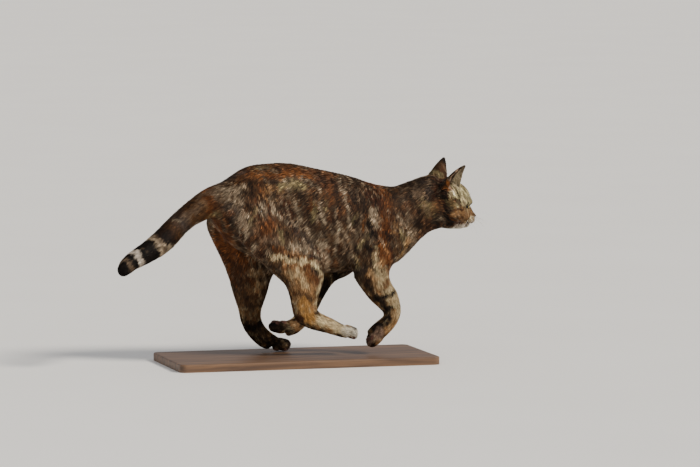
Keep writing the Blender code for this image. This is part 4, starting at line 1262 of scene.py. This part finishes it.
def build_coat(skin, seen, tree, material):
    def rate(points):
        lie = Lie(points)
        return lie.mixed(*TUFT_RATE) * (bare_mask(points, normals_of(skin.data)) < 0.5)

    roots, normals = pick_roots(skin, rate, 31)
    lie = Lie(roots)
    ways = lie.way(normals)
    short = 1 - 0.5 * lie.by_ear * (1 - lie.on_ear)
    sizes = (lie.mixed(*TUFT_LENGTH) * short, lie.mixed(*TUFT_WIDTH),
             lie.mixed(*TUFT_HEIGHT) * short, lie.mixed(*TUFT_SPREAD))
    colours = coat_colour(roots, seen)
    pieces = pieces_of(lie)
    for number, piece in enumerate(sorted(set(pieces))):
        rows = np.nonzero(pieces == piece)[0]
        chart = chart_of(lie, piece, normals)[rows]
        for part, start in enumerate(range(0, len(rows), PIECE_LIMIT)):
            some = slice(start, start + PIECE_LIMIT)
            picked = rows[some]
            name = f"coat_{piece}" + (f"_{part + 1}" if len(rows) > PIECE_LIMIT else "")
            thing = grow_tufts(name, roots[picked], normals[picked], ways[picked],
                               [size[picked] for size in sizes], colours[picked], chart[some],
                               tree, 100 + number)
            thing.data.materials.append(material)
            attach(thing, "root")
            print(name, len(picked))


# Materials

def set_inputs(node, values):
    for name, value in values.items():
        node.inputs[name].default_value = value


class Paint:
    """A material in the making: each step adds a node, links what goes into it and gives its output."""

    def __init__(self, name, roughness):
        self.material = bpy.data.materials.new(name)
        self.material.use_nodes = True
        self.nodes = self.material.node_tree.nodes
        self.shader = self.nodes["Principled BSDF"]
        set_inputs(self.shader, {"Roughness": roughness})

    def add(self, kind, values, links):
        node = self.nodes.new("ShaderNode" + kind)
        set_inputs(node, values)
        self.link(node, links)
        return node

    def link(self, node, links):
        for name, output in links.items():
            self.material.node_tree.links.new(output, node.inputs[name])

    def tone(self):
        """The mesh's own colours."""
        node = self.add("VertexColor", {}, {})
        node.layer_name = "tone"
        return node.outputs["Color"]

    def grain(self, values, stretch=None):
        """Noise in the object's own space, finer along an axis by its stretch."""
        place = self.add("TexCoord", {}, {}).outputs["Object"]
        if stretch:
            place = self.add("Mapping", {"Scale": stretch}, {"Vector": place}).outputs["Vector"]
        return self.add("TexNoise", values, {"Vector": place})

    def ramp(self, grain, low, high, ends=(0.0, 1.0)):
        node = self.add("ValToRGB", {}, {"Fac": grain.outputs["Fac"]})
        for element, colour, end in zip(node.color_ramp.elements, (low, high), ends):
            element.position = end
            element.color = (*colour, 1)
        self.link(self.shader, {"Base Color": node.outputs["Color"]})

    def bump(self, grain, strength, distance):
        node = self.add("Bump", {"Strength": strength, "Distance": distance},
                        {"Height": grain.outputs["Fac"]})
        self.link(self.shader, {"Normal": node.outputs["Normal"]})


def coat_material(name, scale, depth):
    """The marking's colour with the finer light and dark of single hairs."""
    paint = Paint(name, 0.62)
    grain = paint.grain({"Scale": scale, "Detail": 3.0})
    spread = paint.add("MapRange", {"From Min": 0.3, "From Max": 0.7, "To Min": 0.72, "To Max": 1.28},
                       {"Value": grain.outputs["Fac"]})
    mixed = paint.add("VectorMath", {}, {})
    mixed.operation = "SCALE"
    paint.link(mixed, {"Vector": paint.tone(), "Scale": spread.outputs["Result"]})
    paint.link(paint.shader, {"Base Color": mixed.outputs["Vector"]})
    paint.bump(grain, depth, 0.0004)
    set_inputs(paint.shader, {"Specular IOR Level": 0.1, "Sheen Weight": 0.02, "Sheen Roughness": 0.45})
    return paint.material


def wood_material():
    paint = Paint("base_wood", 0.5)
    grain = paint.grain({"Scale": 2.2, "Detail": 7.0, "Distortion": 0.6}, (4.0, 60.0, 60.0))
    paint.ramp(grain, WOOD_DARK, WOOD_LIGHT, (0.32, 0.7))
    paint.bump(grain, 0.25, 0.0003)
    return paint.material


def eye_material():
    paint = Paint("eye_wet", 0.08)
    fibre = paint.grain({"Scale": 900.0})
    mix = paint.nodes.new("ShaderNodeMix")
    mix.data_type = "RGBA"
    mix.blend_type = "MULTIPLY"
    mix.inputs["Factor"].default_value = 0.35
    paint.link(mix, {"A": paint.tone(), "B": fibre.outputs["Color"]})
    paint.link(paint.shader, {"Base Color": mix.outputs["Result"]})
    set_inputs(paint.shader, {"Specular IOR Level": 0.1, "Coat Weight": 1.0, "Coat IOR": 1.34,
                              "Coat Roughness": 0.03})
    return paint.material


def whisker_material():
    paint = Paint("whisker_hair", 0.35)
    paint.ramp(paint.grain({"Scale": 400.0}), (0.62, 0.58, 0.5), (0.88, 0.86, 0.8))
    return paint.material


def floor_material():
    paint = Paint("floor_paint", 0.8)
    paint.ramp(paint.grain({"Scale": 3.0}), (0.90, 0.87, 0.82), (0.95, 0.92, 0.87))
    return paint.material


# Eyes

def build_eye(side):
    """A ball with a bulging cornea, coloured by the angle from its axis: iris, slit pupil, dark white."""
    name = "eyeball_l" if side > 0 else "eyeball_r"
    matrix = eye_frame(side)
    work = bmesh.new()
    rings = []
    for row in range(1, EYE_ROWS):
        angle = math.pi * (row / EYE_ROWS) ** 1.5
        bulge = 0.9 * (1 - min(angle / math.radians(CORNEA), 1.0) ** 2) ** 1.5
        radius = (EYE_RADIUS - 0.1 + bulge) * MM
        ring = []
        for column in range(EYE_COLUMNS):
            turn = 2 * math.pi * column / EYE_COLUMNS
            wide = math.sin(angle)
            place = Vector((math.cos(angle), wide * math.cos(turn), wide * math.sin(turn)))
            ring.append(work.verts.new(matrix @ (place * radius)))
        rings.append(ring)
    front = work.verts.new(matrix @ Vector(((EYE_RADIUS + 0.8) * MM, 0, 0)))
    rear = work.verts.new(matrix @ Vector((-(EYE_RADIUS - 0.1) * MM, 0, 0)))
    for column in range(EYE_COLUMNS):
        after = (column + 1) % EYE_COLUMNS
        work.faces.new((front, rings[0][column], rings[0][after]))
        work.faces.new((rear, rings[-1][after], rings[-1][column]))
        for before, later in zip(rings, rings[1:]):
            work.faces.new((before[column], later[column], later[after], before[after]))
    bmesh.ops.recalc_face_normals(work, faces=work.faces)
    ball = new_object(name, work)
    local = in_frame(vertices_of(ball.data), matrix)
    far = np.hypot(local[:, 1], local[:, 2])
    front_side = local[:, 0] > 0
    iris = within(far, *IRIS_EDGE) * front_side
    pupil = within(np.hypot(local[:, 1] / PUPIL[0], local[:, 2] / PUPIL[1]), 0.9, 1.15) * front_side
    ring = soft_step(far, 5.0, 8.0)
    colour = np.tile(EYE_WHITE, (len(local), 1))
    colour = blend(colour, blend(IRIS_INNER, IRIS_OUTER, ring), iris)
    colour = blend(colour, PUPIL_BLACK, pupil)
    put_colour(ball.data, colour)
    return ball


# Whiskers

def whisker_stems():
    """Root in the head's frame, way, length, radius and bend of each whisker."""
    draw = np.random.default_rng(7)
    stems = []
    for side in (-1, 1):
        for row, (height, count) in enumerate(WHISKER_ROWS):
            for place in range(count):
                root = (43.0 - 4.2 * place, side * (6.5 + 1.7 * place), height - 0.3 * place)
                fan = 0.85 - 0.42 * place + draw.uniform(-0.1, 0.1)
                way = (fan, side * 1.0, 0.12 - 0.22 * row + draw.uniform(-0.06, 0.06))
                length = 34 + 6 * place - 3 * row + draw.uniform(-3, 3)
                stems.append((root, way, length, 0.2, WHISKER_BEND))
        for place in range(3):
            root = (21 - 2.5 * place, side * (11 + 2.5 * place), 9.5)
            way = (0.7, side * (0.3 + 0.2 * place), 1.0)
            stems.append((root, way, 20 + draw.uniform(-3, 3), 0.13, BROW_BEND))
    return stems


def build_whiskers(tree):
    """Long tapered hairs from the pads of the muzzle and a few over the eyes."""
    work = bmesh.new()
    turn = np.array(HEAD_TURN)
    for root, way, length, radius, bend in whisker_stems():
        start = np.array(on_skin(tree, root))
        ahead = unit(np.array([way]) @ turn.T)[0]
        curl = np.array(bend) @ turn.T
        rings = []
        for step in range(WHISKER_STEPS + 1):
            t = step / WHISKER_STEPS
            centre = start + (ahead * (t - 0.02) + curl * 0.5 * t * t) * length * MM
            path = unit((ahead + curl * t)[None])[0]
            across = unit(np.cross(path, [0.0, 0.0, 1.0])[None])[0]
            up = np.cross(across, path)
            size = radius * (1 - t) ** 0.8 * MM + WHISKER_TIP * MM
            rings.append([work.verts.new(centre + out * size) for out in (across, up, -across, -up)])
        for before, later in zip(rings, rings[1:]):
            for corner in range(4):
                after = (corner + 1) % 4
                work.faces.new((before[corner], before[after], later[after], later[corner]))
        work.faces.new(rings[0][::-1])
        work.faces.new(rings[-1])
    bmesh.ops.recalc_face_normals(work, faces=work.faces)
    whiskers = new_object("whiskers", work)
    whiskers.data.materials.append(whisker_material())
    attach(whiskers, "root")


# Setting, in metres

KEY_FROM = (1.9, -1.75, 2.1)
LIGHT_AIM = (0.02, 0, 0.16)


def build_floor():
    work = bmesh.new()
    bmesh.ops.create_grid(work, x_segments=8, y_segments=8, size=40)
    floor = new_object("floor", work)
    floor.data.materials.append(floor_material())


def add_light(name, place, size, power, colour):
    data = bpy.data.lights.new(name, "AREA")
    data.shape = "DISK"
    data.size = size
    data.energy = power
    data.color = colour
    light = put_in_scene(name, data)
    aim = Vector(LIGHT_AIM) - Vector(place)
    light.matrix_world = Matrix.Translation(place) @ aim.to_track_quat("-Z", "Y").to_matrix().to_4x4()


def build_lights():
    data = bpy.data.lights.new("key", "SUN")
    data.energy = 3.6
    data.angle = math.radians(14)
    data.color = (1.0, 0.95, 0.87)
    key = put_in_scene("key", data)
    key.matrix_world = Vector(KEY_FROM).to_track_quat("Z", "Y").to_matrix().to_4x4()
    add_light("fill", (-2.4, -2.6, 1.4), 2.4, 14, (0.92, 0.96, 1.0))
    world = bpy.data.worlds.new("studio")
    world.use_nodes = True
    back = world.node_tree.nodes["Background"]
    back.inputs["Color"].default_value = (0.93, 0.95, 1.0, 1)
    back.inputs["Strength"].default_value = 0.5
    bpy.context.scene.world = world


def paint_skin(skin, seen):
    """The coat's colours on the skin under the tufts, and bare skin on nose, pads and rims."""
    points = vertices_of(skin.data)
    head = in_head(points)
    bare = bare_mask(points, normals_of(skin.data))
    shade = np.where((head[:, 0] > 20)[:, None], NOSE_SKIN, PAD_SKIN)
    shade = shade * (1 + 0.15 * noise(to_mm(points), 2.5, 90))[:, None]
    colour = coat_colour(points, seen) * UNDER_SHADE * (1 - bare)[:, None] + shade * bare[:, None]
    put_colour(skin.data, rim_colour(points, head, colour))
    skin.data.materials.append(coat_material("skin_fur", 700.0, 0.6))


def main():
    eye = build_camera()
    build_lights()
    build_floor()
    skin = build_skin()
    print("skin", len(skin.data.polygons))
    tree = tree_of(skin)
    seen = Seen(eye, tree)
    paint_skin(skin, seen)
    flesh = [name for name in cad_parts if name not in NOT_FLESH]
    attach(skin, "root")
    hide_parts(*flesh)
    build_coat(skin, seen, tree, coat_material("coat_hair", 1600.0, 0.25))
    build_whiskers(tree)
    wet = eye_material()
    for side, node in ((-1, "eye_r"), (1, "eye_l")):
        ball = build_eye(side)
        ball.data.materials.append(wet)
        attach(ball, "root")
        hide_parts(node)
    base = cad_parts["stand_base"]
    base.data.materials.clear()
    base.data.materials.append(wood_material())


main()
